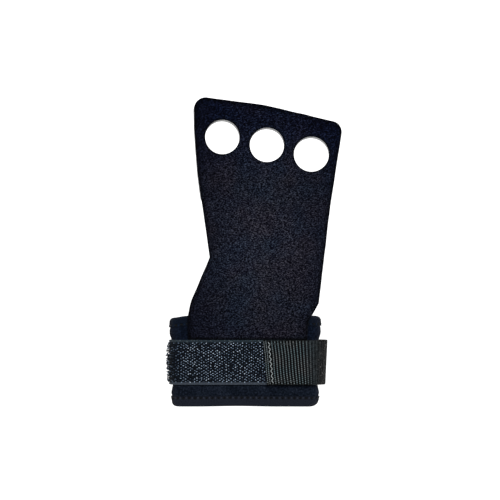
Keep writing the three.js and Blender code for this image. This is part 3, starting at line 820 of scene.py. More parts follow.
def cuff(s, d, y):
    """A point of the wristband: s round it, d in from its outer face, y along it (mm)."""
    x, z, nx, nz = oval(s)
    s, d, y = np.broadcast_arrays(np.asarray(s, float), np.asarray(d, float), np.asarray(y, float))
    t = (y - CUFF_BOTTOM) / (CUFF_TOP - CUFF_BOTTOM)
    wide = 0.985 + 0.035 * t - 0.015 * sstep(y, -79, -75.5) * (1 - sstep(y, -48.5, -45))
    xs = -5.2 + (x + 5.2) * wide
    # the rims' corners are pulled in where the binding goes round the folds, most at the lower right
    low, high = np.clip((-y - 82.0) / 4.5, 0, 1) ** 2, np.clip((y + 39.5) / 3.7, 0, 1) ** 2
    xs = xs - np.clip(nx, 0, 1) * (2.1 * low + 0.9 * high) + np.clip(-nx, 0, 1) * (0.8 * low + 0.7 * high)
    # edges are never dead straight: the rims wander a little
    rim = sstep(np.abs(y + 61.2), 14, 25)
    p3 = np.stack([s / 1.0, y, np.zeros_like(y)], 1)
    dy = 0.35 * noise(np.stack([s, y * 0.1, np.zeros_like(y)], 1), 23, 31) * rim
    # the rim towards the palm droops at its left fold
    dy = dy - 1.0 * sstep(-xs, 36, 47) * sstep(y, -52, -40)
    return np.stack([xs - nx * d, y + dy, z - nz * d], 1)


def loft(name, profile, ns, mat, shift=None, third=None):
    """Sweeps a closed profile [(d, y), ...] round the wristband."""
    prof = np.array(profile, float)
    k = len(prof)
    s = np.linspace(0, PERIM, ns, endpoint=False)
    S, I = np.meshgrid(s, np.arange(k), indexing="ij")
    S, I = S.ravel(), I.ravel()
    d, y = prof[I, 0].copy(), prof[I, 1].copy()
    if shift is not None:
        d = d - shift(S, d, y)
    v = cuff(S, d, y)
    faces = grid_faces(ns, k, wrap_u=True, wrap_v=True)
    t3 = prof[I, 0] * 2 if third is None else third(S, prof[I, 0], prof[I, 1])
    o = make(name, v, faces, mat, coords=np.stack([S, prof[I, 1], t3], 1))
    return fix_normals(o)


def on_top(s):
    """1 on the wide upper face, 0 round the folds and underneath."""
    return sstep(s, ARC + 2, ARC + 8) * (1 - sstep(s, ARC + STRAIGHT - 8, ARC + STRAIGHT - 2))


def on_bottom(s):
    s = np.mod(s, PERIM)
    return sstep(s, 2 * ARC + STRAIGHT, 2 * ARC + STRAIGHT + 6) * (1 - sstep(s, PERIM - 6, PERIM))


HEM_TOP, HEM_LOW = -41.4, -80.6  # where the binding's outer legs end
PITCH = 3.3
N_ST = int(round(PERIM / PITCH))
STITCH_S = (np.arange(N_ST) + 0.5) * PERIM / N_ST


def near_stitch(s):
    q = np.mod(s / (PERIM / N_ST), 1.0) - 0.5
    return np.exp(-((q / 0.24) ** 2))


def neoprene_shift(s, d, y):
    outer = d < 1.0
    strap = sstep(y, -76.5, -73) * (1 - sstep(y, -50.5, -47.3))
    free = 0.06 * (1 - 0.75 * on_top(s) * (y > -60)) * (1 - 0.5 * on_bottom(s))
    bulge = free * np.where(y > -60, sstep(y, -49.5, -46) * (1 - sstep(y, -44, -41)), sstep(y, -81, -79) * (1 - sstep(y, -77, -74)))
    press = -0.32 * strap * (1 - 0.8 * on_top(s))
    lumps = 0.07 * noise(np.stack([s, y, d], 1), (7, 5, 9), 41) * (1 - strap)
    under = -(0.28 + 0.27 * np.maximum(on_top(s), on_bottom(s))) * (sstep(y, HEM_TOP - 0.75, HEM_TOP - 0.1) + (1 - sstep(y, HEM_LOW + 0.1, HEM_LOW + 0.75)))
    return np.where(outer, bulge + press + lumps + under, 0.1 * noise(np.stack([s, y, d], 1), (9, 9, 9), 42))


def relax(o, free, cap, pressure, growth):
    """Lets a padded piece puff and pucker as cloth where free (per vertex) is above 0, by at most cap mm."""
    scene = bpy.context.scene
    k = 20.0  # simulated twenty times larger, where the solver's steps suit the mesh
    rest = np.zeros(len(o.data.vertices) * 3)
    o.data.vertices.foreach_get("co", rest)
    me = o.data.copy()
    me.vertices.foreach_set("co", rest * k)
    w = bpy.data.objects.new("relax", me)
    scene.collection.objects.link(w)
    pin = w.vertex_groups.new(name="pin")
    level = np.round((1 - free) * 8).astype(int)
    for q in range(1, 9):
        ids = np.where(level == q)[0].tolist()
        if ids:
            pin.add(ids, q / 8, "REPLACE")
    st = w.modifiers.new("cloth", "CLOTH").settings
    st.quality = 6
    st.mass = 0.3
    st.tension_stiffness = st.compression_stiffness = 12
    st.shear_stiffness = 5
    st.bending_stiffness = 0.6
    st.vertex_group_mass = "pin"
    st.shrink_min = -growth
    st.use_pressure = True
    st.uniform_pressure_force = pressure
    st.effector_weights.gravity = 0
    for f in range(1, 21):
        scene.frame_set(f)
    ev = w.evaluated_get(bpy.context.evaluated_depsgraph_get())
    got = np.zeros(len(rest))
    ev.data.vertices.foreach_get("co", got)
    move = (got / k - rest).reshape(-1, 3) * (free > 0)[:, None]
    size = np.linalg.norm(move, axis=1)
    lim = cap * MM * free
    move *= np.where(size > 1e-9, lim * np.tanh(size / np.maximum(lim, 1e-9)) / np.maximum(size, 1e-12), 0)[:, None]
    o.data.vertices.foreach_set("co", rest + move.ravel())
    o.data.update()
    bpy.data.objects.remove(w)
    scene.frame_set(1)
    return float(size.max() / MM)


ys = np.concatenate([np.linspace(-85.0, -37.3, 56)])
prof = [(0.0, y) for y in ys] + [(0.5, -36.9), (1.6, -36.8), (2.6, -36.95)]
prof += [(2.8, y) for y in np.linspace(-37.4, -84.9, 30)] + [(2.4, -85.35), (1.4, -85.5), (0.5, -85.35)]
neoprene = loft("wristband_neoprene", prof, 260, NEOPRENE, neoprene_shift)
prof_a = np.array(prof)
S, I = np.meshgrid(np.linspace(0, PERIM, 260, endpoint=False), np.arange(len(prof)), indexing="ij")
S, D, Y = S.ravel(), prof_a[I.ravel(), 0], prof_a[I.ravel(), 1]
band_hi = sstep(Y, -49.6, -47.4) * (1 - sstep(Y, -43.6, -42.2))
band_lo = sstep(Y, -80.0, -78.8) * (1 - sstep(Y, -76.0, -74.0))
under_suede = on_top(S) * (Y > -60) * ((oval(S)[0] > -37) & (oval(S)[0] < 34))
free = (band_hi + band_lo) * (D < 1.0) * (1 - 0.8 * under_suede)
free = free * (0.45 + 0.55 * np.maximum(on_top(S), on_bottom(S)))
relax(neoprene, np.clip(free, 0, 1), 0.3, 4.0, 0.09)
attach(neoprene, "wristband")
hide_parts("neoprene_cuff")


def lining_shift(s, d, y):
    return 0.08 * noise(np.stack([s, y, np.zeros_like(y)], 1), (8, 5, 5), 45)


yl = np.linspace(-79.8, -42.2, 30)
prof = [(3.1, y) for y in yl] + [(3.35, -42.0)] + [(3.6, y) for y in yl[::-1]] + [(3.35, -80.0)]
lining = loft("wristband_lining", prof, 150, LINING, lining_shift)
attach(lining, "wristband")
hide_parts("cuff_lining")


def hem(name, rim, leg, node):
    """Binding tape folded over a rim: rim and leg are the y of the rim and of the outer leg's edge."""
    sg = 1 if rim > leg else -1
    outer = []
    nose = 2.0
    for y in list(leg + sg * np.array([0, 0.15, 0.35, 0.6, 0.85, 1.1, 1.35, 1.65, 2.0, 2.3])) + [rim - sg * nose]:
        outer.append((-0.12, y))
    for a in np.linspace(0.14, PI - 0.14, 9):
        outer.append((1.84 - 1.96 * math.cos(a), rim - sg * nose + sg * nose * math.sin(a)))
    for y in np.linspace(rim - sg * nose, leg, 5):
        outer.append((3.68, y))
    inner = []
    for y in np.linspace(leg, rim - sg * nose, 4):
        inner.append((3.12, y))
    for a in np.linspace(PI - 0.3, 0.3, 6):
        inner.append((1.84 - 1.3 * math.cos(a), rim - sg * nose + sg * 1.3 * math.sin(a)))
    for y in np.linspace(rim - sg * nose, leg, 5):
        inner.append((0.5, y))
    prof = outer + inner

    def shift(s, d, y):
        top_layer = d < 0.1
        rib = 0.045 * np.sin(2 * PI * s / 1.02) * (d < 3.0)
        seam = leg + sg * 1.1
        q = np.mod(s / (PERIM / N_ST), 1.0)
        between = np.exp(-((np.minimum(q, 1 - q) / 0.2) ** 2))
        dimple = -0.3 * near_stitch(s) * np.exp(-(((y - seam) / 0.55) ** 2)) * top_layer
        puff = (0.13 + 0.12 * between + 0.22 * (1 - np.maximum(on_top(s), on_bottom(s)))) * np.exp(-(((y - (leg + sg * 0.25)) / 0.5) ** 2)) * top_layer
        puff = puff + 0.14 * between * np.exp(-(((y - (seam + sg * 0.9)) / 0.5) ** 2)) * top_layer
        wave = 0.1 * noise(np.stack([s, y, np.zeros_like(y)], 1), (5.5, 4, 5), 51) * (d < 3.0)
        wrap = np.where(top_layer | (d > 3.6), 1, 1)
        return (rib * top_layer + dimple + puff + wave * 0.8) * wrap * np.where(d < 1.84, 1, -0.4)

    def pit_shade(s, d, y):
        # painted shade: high along the stitch line's pits and at the outer leg's edge, negative on a paler patch
        # between the stitches
        seam = leg + sg * 1.1
        line = 1.3 * np.exp(-(((y - seam) / 0.62) ** 2)) * near_stitch(s)
        lip = 0.8 * np.exp(-(((y - leg) / 0.26) ** 2))
        q = np.mod(s / (PERIM / N_ST), 1.0)
        paler_between = np.exp(-((np.minimum(q, 1 - q) / 0.2) ** 2)) * np.exp(-(((y - seam + sg * 0.1) / 0.7) ** 2))
        return np.where(paler_between > 0.35, -paler_between, np.maximum(line, lip)) * (d < 0.1)

    o = loft(name, prof, 620, BINDING, shift, third=pit_shade)
    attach(o, "wristband")
    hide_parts(node)
    return o


hem("top_hem", CUFF_TOP, HEM_TOP, "top_hem_binding")
hem("bottom_hem", CUFF_BOTTOM, HEM_LOW, "bottom_hem_binding")


def hem_stitches(name, y, node, seed):
    bag = Bag()
    jit = rnd(N_ST, seed)
    half = PERIM / N_ST * 0.28
    for i, sc in enumerate(STITCH_S):
        t = np.linspace(-1, 1, 7)
        s = sc + t * half
        d = -0.02 - 0.16 * (1 - t**4) + 0.5 * np.abs(t) ** 5
        bag.tube(cuff(s, d, y + 0.1 * jit[i] + 0.06 * t), 0.33, 7, coord=0.5 + 0.5 * jit[i])
    o = bag.build(name, THREAD)
    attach(o, "wristband")
    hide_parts(node)
    return o


hem_stitches("top_hem_stitches", HEM_TOP + 1.1, "top_hem_stitch", 3)
hem_stitches("bottom_hem_stitches", HEM_LOW - 1.1, "bottom_hem_stitch", 4)

# seam tape over the tube's closing seam, inside the lower wall
nx_, ny_ = 22, 60
bag_v = []
xs = np.linspace(-10.6, -1.4, nx_)
yt = np.linspace(-79.6, -42.6, ny_)
X, Y = np.meshgrid(xs, yt, indexing="ij")
edge = np.minimum((X - xs[0]), (xs[-1] - X)).ravel()
p3 = np.stack([X.ravel(), Y.ravel(), X.ravel() * 0], 1)
up = 6.15 + 0.38 * np.sqrt(np.clip(edge / 0.6, 0, 1)) + 0.05 * noise(p3, 3, 61)
lo = np.full(up.shape, 6.12)
v = np.vstack([np.column_stack([p3[:, :2], up]), np.column_stack([p3[:, :2], lo])])
f = grid_faces(nx_, ny_) + grid_faces(nx_, ny_, flip=True, base=nx_ * ny_)
ring = (
    [i * ny_ for i in range(nx_)]
    + [(nx_ - 1) * ny_ + j for j in range(1, ny_)]
    + [i * ny_ + ny_ - 1 for i in range(nx_ - 2, -1, -1)]
    + [j for j in range(ny_ - 2, 0, -1)]
)
N = nx_ * ny_
f += [(ring[i], ring[(i + 1) % len(ring)], ring[(i + 1) % len(ring)] + N, ring[i] + N) for i in range(len(ring))]
seam = fix_normals(make("seam_tape", v, f, BINDING))
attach(seam, "wristband")
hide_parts("cuff_seam_tape")


# ---------------------------------------------------------------- hook tape
def dense(line, step):
    line = np.array(line, float)
    seg = np.hypot(*np.diff(line, axis=0).T)
    s = np.concatenate([[0], np.cumsum(seg)])
    q = np.linspace(0, s[-1], int(s[-1] / step) + 1)
    return np.stack([np.interp(q, s, line[:, 0]), np.interp(q, s, line[:, 1])], 1), q


def tape_path(x_front, x_back):
    pts = [(x_front, TAPE_TOP)]
    a, b = CR + 0.6, TAPE_TOP - CZ
    for i in range(61):
        t = PI / 2 + PI / 2 * i / 60
        pts.append((CXL + a * math.cos(t), CZ + b * math.sin(t)))
    for i in range(1, 61):
        t = PI + PI / 2 * i / 60
        pts.append((CXL + a * math.cos(t), CZ + a * math.sin(t)))
    pts.append((x_back, TAPE_LOW))
    return pts


def path_frame(line):
    """Tangent and outward normal (x, z) along a path whose outside is on its right."""
    t = np.gradient(line, axis=0)
    t /= np.linalg.norm(t, axis=1)[:, None]
    return t, np.stack([t[:, 1], -t[:, 0]], 1)


def ribbon(name, line, y0, y1, nv, thick, mat, top=None, bottom=None, edge_round=0.3, xshift=None, zcoord=None):
    """A strip along a path (x, z), from y0 to y1 across. top and bottom give extra height at (u, y)."""
    line, q = dense(line, top["step"] if top else 0.4)
    _, n = path_frame(line)
    nu = len(line)
    ys = y0 + (y1 - y0) * (0.5 - 0.5 * np.cos(PI * np.linspace(0, 1, nv))) * 0.12 + (y1 - y0) * np.linspace(0, 1, nv) * 0.88
    U, J = np.meshgrid(np.arange(nu), np.arange(nv), indexing="ij")
    U, J = U.ravel(), J.ravel()
    y = ys[J]
    u = q[U]
    e = np.minimum(np.minimum(y - ys[0], ys[-1] - y), np.minimum(u, q[-1] - u))
    rnd_ = np.sqrt(np.clip(1 - (1 - np.clip(e / edge_round, 0, 1)) ** 2, 0, 1))
    h_top = (thick / 2) * (0.35 + 0.65 * rnd_)
    h_bot = -(thick / 2) * (0.35 + 0.65 * rnd_)
    if top:
        h_top = h_top + top["f"](u, y) * rnd_
    if bottom:
        h_bot = h_bot - bottom["f"](u, y) * rnd_
    def place(h):
        x = line[U, 0] + n[U, 0] * h
        z = line[U, 1] + n[U, 1] * h
        if xshift is not None:
            x = x + xshift(u, y)
        return np.stack([x, y, z], 1)
    v = np.vstack([place(h_top), place(h_bot)])
    N = nu * nv
    f = grid_faces(nu, nv) + grid_faces(nu, nv, flip=True, base=N)
    ring = (
        [i * nv for i in range(nu)]
        + [(nu - 1) * nv + j for j in range(1, nv)]
        + [i * nv + nv - 1 for i in range(nu - 2, -1, -1)]
        + [j for j in range(nv - 2, 0, -1)]
    )
    f += [(ring[i], ring[(i + 1) % len(ring)], ring[(i + 1) % len(ring)] + N, ring[i] + N) for i in range(len(ring))]
    zc = np.zeros(N) if zcoord is None else zcoord(u, y)
    c = np.stack([u, y, zc], 1)
    o = make(name, v, f, mat, coords=np.vstack([c, c + [0, 60, 0] if zcoord is None else c]))
    return fix_normals(o)


tape_line = tape_path(26.0, -27.0)
tape_len = dense(tape_line, 0.35)[1][-1]


def tape_height(u, y):
    sel = (np.abs(y + 61.8) > 11.2).astype(float)
    weave = 0.035 * np.sin(2 * PI * u / 0.95) * np.cos(2 * PI * y / 1.1 + PI * np.floor(u / 0.95))
    rib = 0.05 * np.sin(2 * PI * y / 0.62) * sel
    return weave * (1 - 0.5 * sel) + rib + 0.09 * sel


tape = ribbon(
    "hook_tape_base", tape_line, STRAP_Y0, STRAP_Y1, 84, 0.6, TAPE,
    top={"step": 0.35, "f": tape_height}, bottom={"f": lambda u, y: 0 * u}, edge_round=0.35,
)
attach(tape, "wristband")
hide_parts("hook_tape")

hl, hq = dense(tape_path(25.0, -26.2), 0.02)
ht, hn = path_frame(hl)
bag = Bag()
PU, PV = 1.26, 1.6
rows = int((hq[-1] - 0.6) / PU)
cols = 14
shape = np.array([(0, -0.05), (0.0, 0.42), (0.04, 0.74), (0.16, 0.96), (0.36, 1.03), (0.54, 0.9), (0.6, 0.64)])
J = rnd(rows * cols * 8, 77).reshape(-1, 8)
idx = 0
for r in range(rows):
    u_col = 0.3 + r * PU
    k0 = min(len(hl) - 1, int(u_col / 0.02))
    # round the left turn the hooks stand a little taller and wilder
    turn = float(sstep(CXL + 3 - hl[k0, 0], 0, 8))
    for c in range(cols):
        j = J[idx]
        idx += 1
        u0 = u_col + 0.24 * j[0]
        y0 = -61.8 + (c - (cols - 1) / 2 + (0.25 if r % 2 else -0.25)) * PV + 0.24 * j[1]
        sgn = 1 if (r + (c // 2)) % 2 else -1
        mid = 1 - (abs(y0 + 61.8) / 12.5) ** 2
        hgt = max(0.4, 1.0 + 0.12 * j[2] + turn * (-0.5 + 0.75 * mid + 0.5 * j[7]))
        yaw = 0.95 * j[3]
        lean = 0.14 * j[4] * (1 + turn)
        k = min(len(hl) - 1, max(0, int(u0 / 0.02)))
        base, tt, nn = hl[k], ht[k], hn[k]
        a = (shape[:, 0] - 0.32) * sgn * (1 + 0.15 * j[5])
        b = shape[:, 1] * hgt
        du = a * math.cos(yaw) + lean * b
        dy = a * math.sin(yaw) * 0.9 + lean * b * j[5]
        hh = 0.3 + b * 1.18
        p = np.stack([base[0] + tt[0] * du + nn[0] * hh, y0 + dy, base[1] + tt[1] * du + nn[1] * hh], 1)
        tone = 0.5 + 0.5 * np.sign(j[6]) * abs(j[6]) ** 1.3
        # painted shade: round the left turn, which faces away from the light, the hooks lose their painted highlight
        # and are drawn dark, a few a little paler
        tone = float(np.clip(tone * (1 - 0.95 * turn) + 0.16 * turn * (j[2] > 0.35), 0, 1))
        p[:, 2] = np.maximum(p[:, 2], 0.2)
        bag.tube(p, 0.165 + 0.05 * turn, 6, coord=tone, up=(0.0, 1.0, 0.0))
hooks = bag.build("hooks", HOOK)
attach(hooks, "wristband")
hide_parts("hook_field")

# stitches along the hook tape's edges
bag = Bag()
tl, tq = dense(tape_line, 0.05)
tt_, tn_ = path_frame(tl)


def tape_stitch(u0, u1, y0, y1, jit):
    t = np.linspace(0, 1, 6)
    u = u0 + (u1 - u0) * t
    k = np.clip((u / 0.05).astype(int), 0, len(tl) - 1)
    h = 0.3 + 0.16 * np.sin(PI * t) ** 0.6 - 0.12 * (1 - np.sin(PI * t))
    p = np.stack([tl[k, 0] + tn_[k, 0] * h, y0 + (y1 - y0) * t, tl[k, 1] + tn_[k, 1] * h], 1)
    bag.tube(p, 0.15, 5, coord=0.5 + 0.5 * jit, up=(0.0, 1.0, 0.0) if abs(u1 - u0) > 0.5 else None)


ns = int(tape_len / 2.6)
jj = rnd(ns * 2 + 40, 8)
for i in range(ns):
    u = 0.5 + i * (tape_len - 1.0) / ns
    for k, yy in enumerate((STRAP_Y0 + 0.62, STRAP_Y1 - 0.62)):
        tape_stitch(u, u + 1.9, yy + 0.05 * jj[i], yy, jj[2 * i + k])
o = bag.build("hook_tape_stitches", STRAP_THREAD)
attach(o, "wristband")
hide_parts("hook_tape_stitch")

# ---------------------------------------------------------------- webbing strap


def web_path():
    pts = [(WEB_BACK_END, WEB_MID_LOW), (TURN_X - 1, WEB_MID_LOW)]
    for i in range(91):
        t = -PI / 2 + PI * i / 90
        pts.append((TURN_X + TURN_R * math.cos(t), TURN_Z + TURN_R * math.sin(t)))
    pts.append((TIP_X, WEB_MID_TOP))
    return pts


web_line, web_q = dense(web_path(), 0.2)
WEB_LEN = web_q[-1]
U_MID = U_BACK + PI * TURN_R / 2


def skew(u, y):
    """The free end was laid on by hand, a few degrees off square."""
    k = 0.096 * sstep(u, U_TURN - 9, U_TURN + 8) - 0.05 * sstep(u, U_BACK, U_MID) * (1 - sstep(u, U_MID + 3, U_TURN))
    return (-61.8 - y) * k


def rib_phase(u, y):
    # the cut end is pressed flat: its last two ribs sit closer together, then the zigzag's channel
    t = WEB_LEN - u + 0.12 * np.sin(y * 0.35) * (1 - sstep(WEB_LEN - u, 14, 20))
    return RIB * np.interp(t, [-1.0, 0.45, 1.62, 3.15, 4.85, 4.85 + 90 * RIB], [-0.75, 0.5, 1.5, 2.5, 3.5, 93.5])


def rib_profile(u, y):
    ph = rib_phase(u, y) / RIB
    q = np.mod(ph, 1.0) - 0.5
    crown = np.clip(1 - (np.abs(q) / 0.47) ** np.where(WEB_LEN - u < 2.2, 2.7, 2.1), 0, 1)
    edge = np.minimum(y - STRAP_Y0, STRAP_Y1 - y)
    body = sstep(edge, 0.2, 0.6)
    i = np.floor(ph)
    bead = 0.5 + 0.5 * np.cos(2 * PI * (y / 1.12 + 0.5 * i))
    sel = 0.5 + 0.35 * np.cos(2 * PI * u / RIB * 2)
    channel = 1 - 0.75 * np.exp(-(((WEB_LEN - u - 3.15) / 0.85) ** 4)) * (np.abs(y + 61.8) < 11.6)
    return crown * (0.78 + 0.22 * bead) * body * channel + (1 - body) * sel * 0.75


def web_top(u, y):
    e = 0.34 * (rib_profile(u, y) - 0.75)
    wave = 0.06 * noise(np.stack([u, y, 0 * u], 1), (6, 8, 5), 71)
    sew = 0
    for yy in (STRAP_Y0 + 2.2, STRAP_Y1 - 2.2):
        sew = sew - 0.22 * np.exp(-(((y - yy) / 0.3) ** 2)) * (u > WEB_LEN - 17.5) * (u < WEB_LEN - 2)
    # the cut end is thinner, and lies down on the hooks
    sew = sew - 0.25 * (1 - sstep(WEB_LEN - u, 0.0, 1.6))
    return e + wave + sew


def web_piece(name, u0, u1, nv):
    i0, i1 = np.searchsorted(web_q, u0 - 1e-6), np.searchsorted(web_q, u1 - 1e-6)
    i1 = min(i1, len(web_q) - 1)
    line, q = web_line[i0 : i1 + 1], web_q[i0 : i1 + 1]
    _, nall = path_frame(web_line)
    n = nall[i0 : i1 + 1]
    nu = len(line)
    ys = np.linspace(STRAP_Y0, STRAP_Y1, nv)
    ys[1], ys[-2] = STRAP_Y0 + 0.1, STRAP_Y1 - 0.1
    U, Jx = np.meshgrid(np.arange(nu), np.arange(nv), indexing="ij")
    U, Jx = U.ravel(), Jx.ravel()
    y, u = ys[Jx], q[U]
    e = np.minimum(y - ys[0], ys[-1] - y)
    e = np.minimum(e, np.minimum(u - 0, WEB_LEN - u))
    rr = np.sqrt(np.clip(1 - (1 - np.clip(e / 0.4, 0, 1)) ** 2, 0, 1))
    ht_ = (WEB_T / 2 - 0.09) * (0.3 + 0.7 * rr) + web_top(u, y) * rr
    hb_ = -(WEB_T / 2 - 0.09) * (0.3 + 0.7 * rr) - 0.3 * (rib_profile(u + RIB / 2, y) - 0.75) * rr
    # the selvage wanders a little
    wob = 0.12 * noise(np.stack([u, 0 * u, 0 * u], 1), 9, 72) * np.sign(y + 61.8) * sstep(np.abs(y + 61.8), 9, 12.5)
    def place(h):
        x = line[U, 0] + n[U, 0] * h + skew(u, y)
        z = line[U, 1] + n[U, 1] * h
        return np.stack([x, y + wob, np.maximum(z, 0.0)], 1)
    v = np.vstack([place(ht_), place(hb_)])
    N = nu * nv
    f = grid_faces(nu, nv) + grid_faces(nu, nv, flip=True, base=N)
    ring = (
        [i * nv for i in range(nu)]
        + [(nu - 1) * nv + j for j in range(1, nv)]
        + [i * nv + nv - 1 for i in range(nu - 2, -1, -1)]
        + [j for j in range(nv - 2, 0, -1)]
    )
    f += [(ring[i], ring[(i + 1) % len(ring)], ring[(i + 1) % len(ring)] + N, ring[i] + N) for i in range(len(ring))]
    c = np.vstack([
        np.stack([u, y, rib_profile(u, y)], 1),
        np.stack([u, y + 60, rib_profile(u + RIB / 2, y)], 1),
    ])
    o = make(name, v, f, WEB, coords=c)
    fix_normals(o)
    me = o.data
    at = me.attributes.get("sharp_edge") or me.attributes.new("sharp_edge", "BOOLEAN", "EDGE")
    co = np.zeros(len(me.vertices) * 3)
    me.vertices.foreach_get("co", co)
    ev = np.zeros(len(me.edges) * 2, int)
    me.edges.foreach_get("vertices", ev)
    ev = ev.reshape(-1, 2) % N
    ends = []
    if u0 > 1:
        ends.append(0)
    if u1 < WEB_LEN - 1:
        ends.append(nu - 1)
    sharp = np.zeros(len(me.edges), bool)
    for k in ends:
        sharp |= ((ev // nv) == k).all(1)
    at.data.foreach_set("value", sharp)
    return o


web_a = web_piece("strap_webbing_back", 0, U_MID, 96)
web_b = web_piece("strap_webbing_front", U_MID, WEB_LEN, 96)


def zone(h, t, k):
    return ((h[0] + t[0] * k) * MM, -0.0618, (h[1] + t[1] * k) * MM)


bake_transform(web_a)
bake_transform(web_b)
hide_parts("strap_webbing", "strap_lower_bend")
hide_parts("strap_end_webbing", "strap_turn", "strap_upper_bend")

# stitches of the strap's free end
bag = Bag()


def flat_stitch(x0, y0, x1, y1, z, rise=0.16, radius=0.2, jit=0.0, dive=0.3, sign=1, sk=True):
    t = np.linspace(0, 1, 7)
    x = x0 + (x1 - x0) * t
    y = y0 + (y1 - y0) * t
    if sk:
        u = WEB_LEN - (x - TIP_X)
        x = x + skew(u, y)
    h = rise * np.sin(PI * t) ** 0.5 - dive * (1 - np.sin(PI * t)) ** 2
    bag.tube(np.stack([x, y, z + sign * h], 1), radius, 6, coord=0.5 + 0.5 * jit)


top_z = WEB_MID_TOP + WEB_T / 2 - 0.16
sj = rnd(200, 91)
n = 0
for yy in (STRAP_Y0 + 2.2, STRAP_Y1 - 2.2):
    for i in range(7):
        x = TIP_X + 2.9 + i * 2.15
        flat_stitch(x, yy, x + 1.55, yy + 0.08 * sj[n], top_z, jit=sj[n])
        n += 1
rows_bag, bag = bag, Bag()
for i in range(17):
    y = -61.8 - 11.4 + i * 1.34
    sg = 0.42 if i % 2 else -0.42
    flat_stitch(TIP_X + 3.15 - sg, y, TIP_X + 3.15 + sg + 0.1 * sj[n], y + 1.2, top_z, radius=0.24, jit=0.6 + 0.4 * sj[n])
    n += 1
zigzag = bag.build("strap_tip_zigzag", TIP_THREAD)
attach(zigzag, "strap_end")
bag = rows_bag
end_stitch = bag.build("strap_end_stitches", STRAP_THREAD)
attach(end_stitch, "strap_end")
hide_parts("loop_patch_stitch")

# box stitch on the fixed end, underneath
bag = Bag()


def seam_run(x0, y0, x1, y1, z, sign, pitch=2.5):
    L = math.hypot(x1 - x0, y1 - y0)
    k = max(2, int(round(L / pitch)))
    for i in range(k):
        a, b = (i + 0.13) / k, (i + 0.87) / k
        global n
        flat_stitch(
            x0 + (x1 - x0) * a, y0 + (y1 - y0) * a, x0 + (x1 - x0) * b, y0 + (y1 - y0) * b,
            z, rise=0.06, radius=0.18, jit=sj[n % 200], sign=sign, sk=False,
        )
        n += 1


bx0, bx1, by0, by1 = WEB_BACK_END + 1.8, WEB_BACK_END + 18.8, STRAP_Y0 + 3, STRAP_Y1 - 3
for a in ((bx0, by0, bx1, by0), (bx1, by0, bx1, by1), (bx1, by1, bx0, by1), (bx0, by1, bx0, by0), (bx0, by0, bx1, by1), (bx0, by1, bx1, by0)):
    seam_run(*a, 0.3, -1)
box = bag.build("strap_box_stitches", STRAP_THREAD)
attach(box, "wristband")
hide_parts("strap_box_stitch")

# stitches that hold the suede down, under the hook tape
bag = Bag()
ax0, ax1, ay0, ay1 = -34.2, 26.1, -65.8, -53.2
for a in ((ax0, ay0, ax1, ay0), (ax1, ay0, ax1, ay1), (ax1, ay1, ax0, ay1), (ax0, ay1, ax0, ay0)):
    seam_run(*a, SUEDE_Z + SUEDE_T / 2 - 0.02, 1, 3.0)
anchor = bag.build("suede_stitches", THREAD)
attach(anchor, "wristband")
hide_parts("suede_anchor_stitch")

# loop patch: woven backing with a pile of small loops underneath
px0, px1, py0, py1 = TIP_X + 0.9, 24.2, STRAP_Y0 + 0.9, STRAP_Y1 - 0.9
kx, ky = 50, 66
X, Y = np.meshgrid(np.linspace(px0, px1, kx), np.linspace(py0, py1, ky), indexing="ij")
X, Y = X.ravel(), Y.ravel()
e = np.minimum(np.minimum(X - px0, px1 - X), np.minimum(Y - py0, py1 - Y))
r = np.sqrt(np.clip(1 - (1 - np.clip(e / 0.3, 0, 1)) ** 2, 0, 1))
q3 = np.stack([X, Y, 0 * X], 1)
zt = LOOP_Z0 + LOOP_T - 0.25 + 0.2 * r + 0.03 * noise(q3, 1.5, 81)
zb = LOOP_Z0 + 0.5 - 0.18 * r + 0.08 * noise(q3, 0.8, 82)
sx = skew(WEB_LEN - (X - TIP_X), Y)
v = np.vstack([np.column_stack([X + sx, Y, zt]), np.column_stack([X + sx, Y, zb])])
N = kx * ky
f = grid_faces(kx, ky) + grid_faces(kx, ky, flip=True, base=N)
ring = (
    [i * ky for i in range(kx)]
    + [(kx - 1) * ky + j for j in range(1, ky)]
    + [i * ky + ky - 1 for i in range(kx - 2, -1, -1)]
    + [j for j in range(ky - 2, 0, -1)]
)
f += [(ring[i], ring[(i + 1) % len(ring)], ring[(i + 1) % len(ring)] + N, ring[i] + N) for i in range(len(ring))]
patch = fix_normals(make("loop_patch_backing", v, f, LOOP))
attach(patch, "strap_end")
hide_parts("loop_patch")
bag = Bag()
nx_, ny_ = 21, 28
lj = rnd(nx_ * ny_ * 4, 83).reshape(-1, 4)
for i in range(nx_):
    for k in range(ny_):
        j = lj[i * ny_ + k]
        x = px0 + 0.5 + (px1 - px0 - 1.0) * i / (nx_ - 1) + 0.25 * j[0]
        y = py0 + 0.5 + (py1 - py0 - 1.0) * k / (ny_ - 1) + 0.25 * j[1]
        a = j[2] * PI
        t = np.linspace(0, PI, 6)
        w = 0.42 * np.cos(t)
        xx = x + w * math.cos(a) + skew(WEB_LEN - (x - TIP_X), np.array([y]))[0]
        bag.tube(np.stack([xx, y + w * math.sin(a), LOOP_Z0 + 0.42 - 0.46 * np.sin(t)], 1), 0.07, 4, coord=0.5)
pile = bag.build("loop_pile", LOOP)
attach(pile, "strap_end")


# the suede's two halves are one cut piece; this loop only works out each half's plan width and length, which nothing
# uses
for (o, area, x0, x1, y0, y1), rests in ((lower, ["top_hem"]), (upper, [])):
    slope = 2.5 if rests else 0.0  # the lower half runs down from the wristband, which takes up more of it
    w, l = (x1 - x0) * MM, (y1 - y0 + slope) * MM

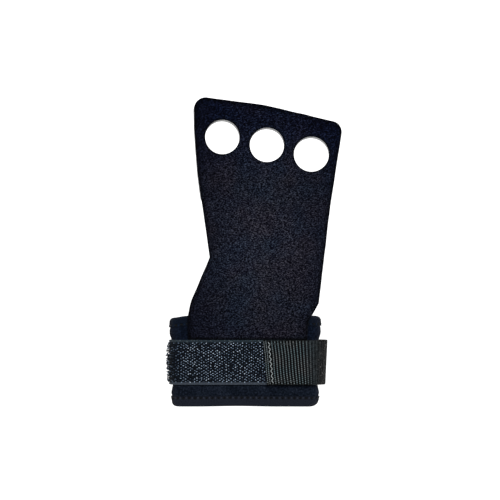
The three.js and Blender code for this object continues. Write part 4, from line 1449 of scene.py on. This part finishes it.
# ---------------------------------------------------------------- floor and light
me = bpy.data.meshes.new("floor")
me.from_pydata([(-3, -3, -0.00005), (3, -3, -0.00005), (3, 3, -0.00005), (-3, 3, -0.00005)], [], [(0, 1, 2, 3)])
floor = bpy.data.objects.new("floor", me)
bpy.context.scene.collection.objects.link(floor)
fm = bpy.data.materials.new("floor_white")
fm.use_nodes = True
b = fm.node_tree.nodes["Principled BSDF"]
b.inputs["Base Color"].default_value = (0.93, 0.93, 0.93, 1)
b.inputs["Roughness"].default_value = 0.9
b.inputs["Specular IOR Level"].default_value = 0.0
# a lit acrylic table glows a little
b.inputs["Emission Color"].default_value = (1, 1, 1, 1)
b.inputs["Emission Strength"].default_value = 0.05
floor.data.materials.append(fm)

world = bpy.data.worlds.new("world")
bpy.context.scene.world = world
world.use_nodes = True
world.node_tree.nodes["Background"].inputs[0].default_value = (1, 1, 1, 1)
world.node_tree.nodes["Background"].inputs[1].default_value = 0.42


def area_light(name, loc, size, power, aim=(0, 0, 0)):
    d = bpy.data.lights.new(name, "AREA")
    d.shape = "DISK"
    d.size = size
    d.energy = power
    o = bpy.data.objects.new(name, d)
    o.location = loc
    o.rotation_euler = (Vector(aim) - Vector(loc)).to_track_quat("-Z", "Y").to_euler()
    bpy.context.scene.collection.objects.link(o)
    return o


key = area_light("key", (0.14, 0.2, 1.3), 0.36, 23)
area_light("fill", (-0.8, -0.1, 1.3), 0.8, 2)
# the table has a lamp of its own from the upper right, which only the suede's finger end shades
table_lamp = area_light("table_lamp", (0.26, 0.95, 1.45), 0.16, 44)
only_floor = bpy.data.collections.new("only_floor")
only_floor.objects.link(floor)
table_lamp.light_linking.receiver_collection = only_floor
shading = bpy.data.collections.new("shading_suede")
shading.objects.link(upper[0])
table_lamp.light_linking.blocker_collection = shading
not_floor = bpy.data.collections.new("not_floor")
not_floor.objects.link(floor)
not_floor.collection_objects[0].light_linking.link_state = "EXCLUDE"
key.light_linking.receiver_collection = not_floor

bpy.context.scene.view_settings.view_transform = "Standard"
bpy.context.scene.view_settings.look = "None"
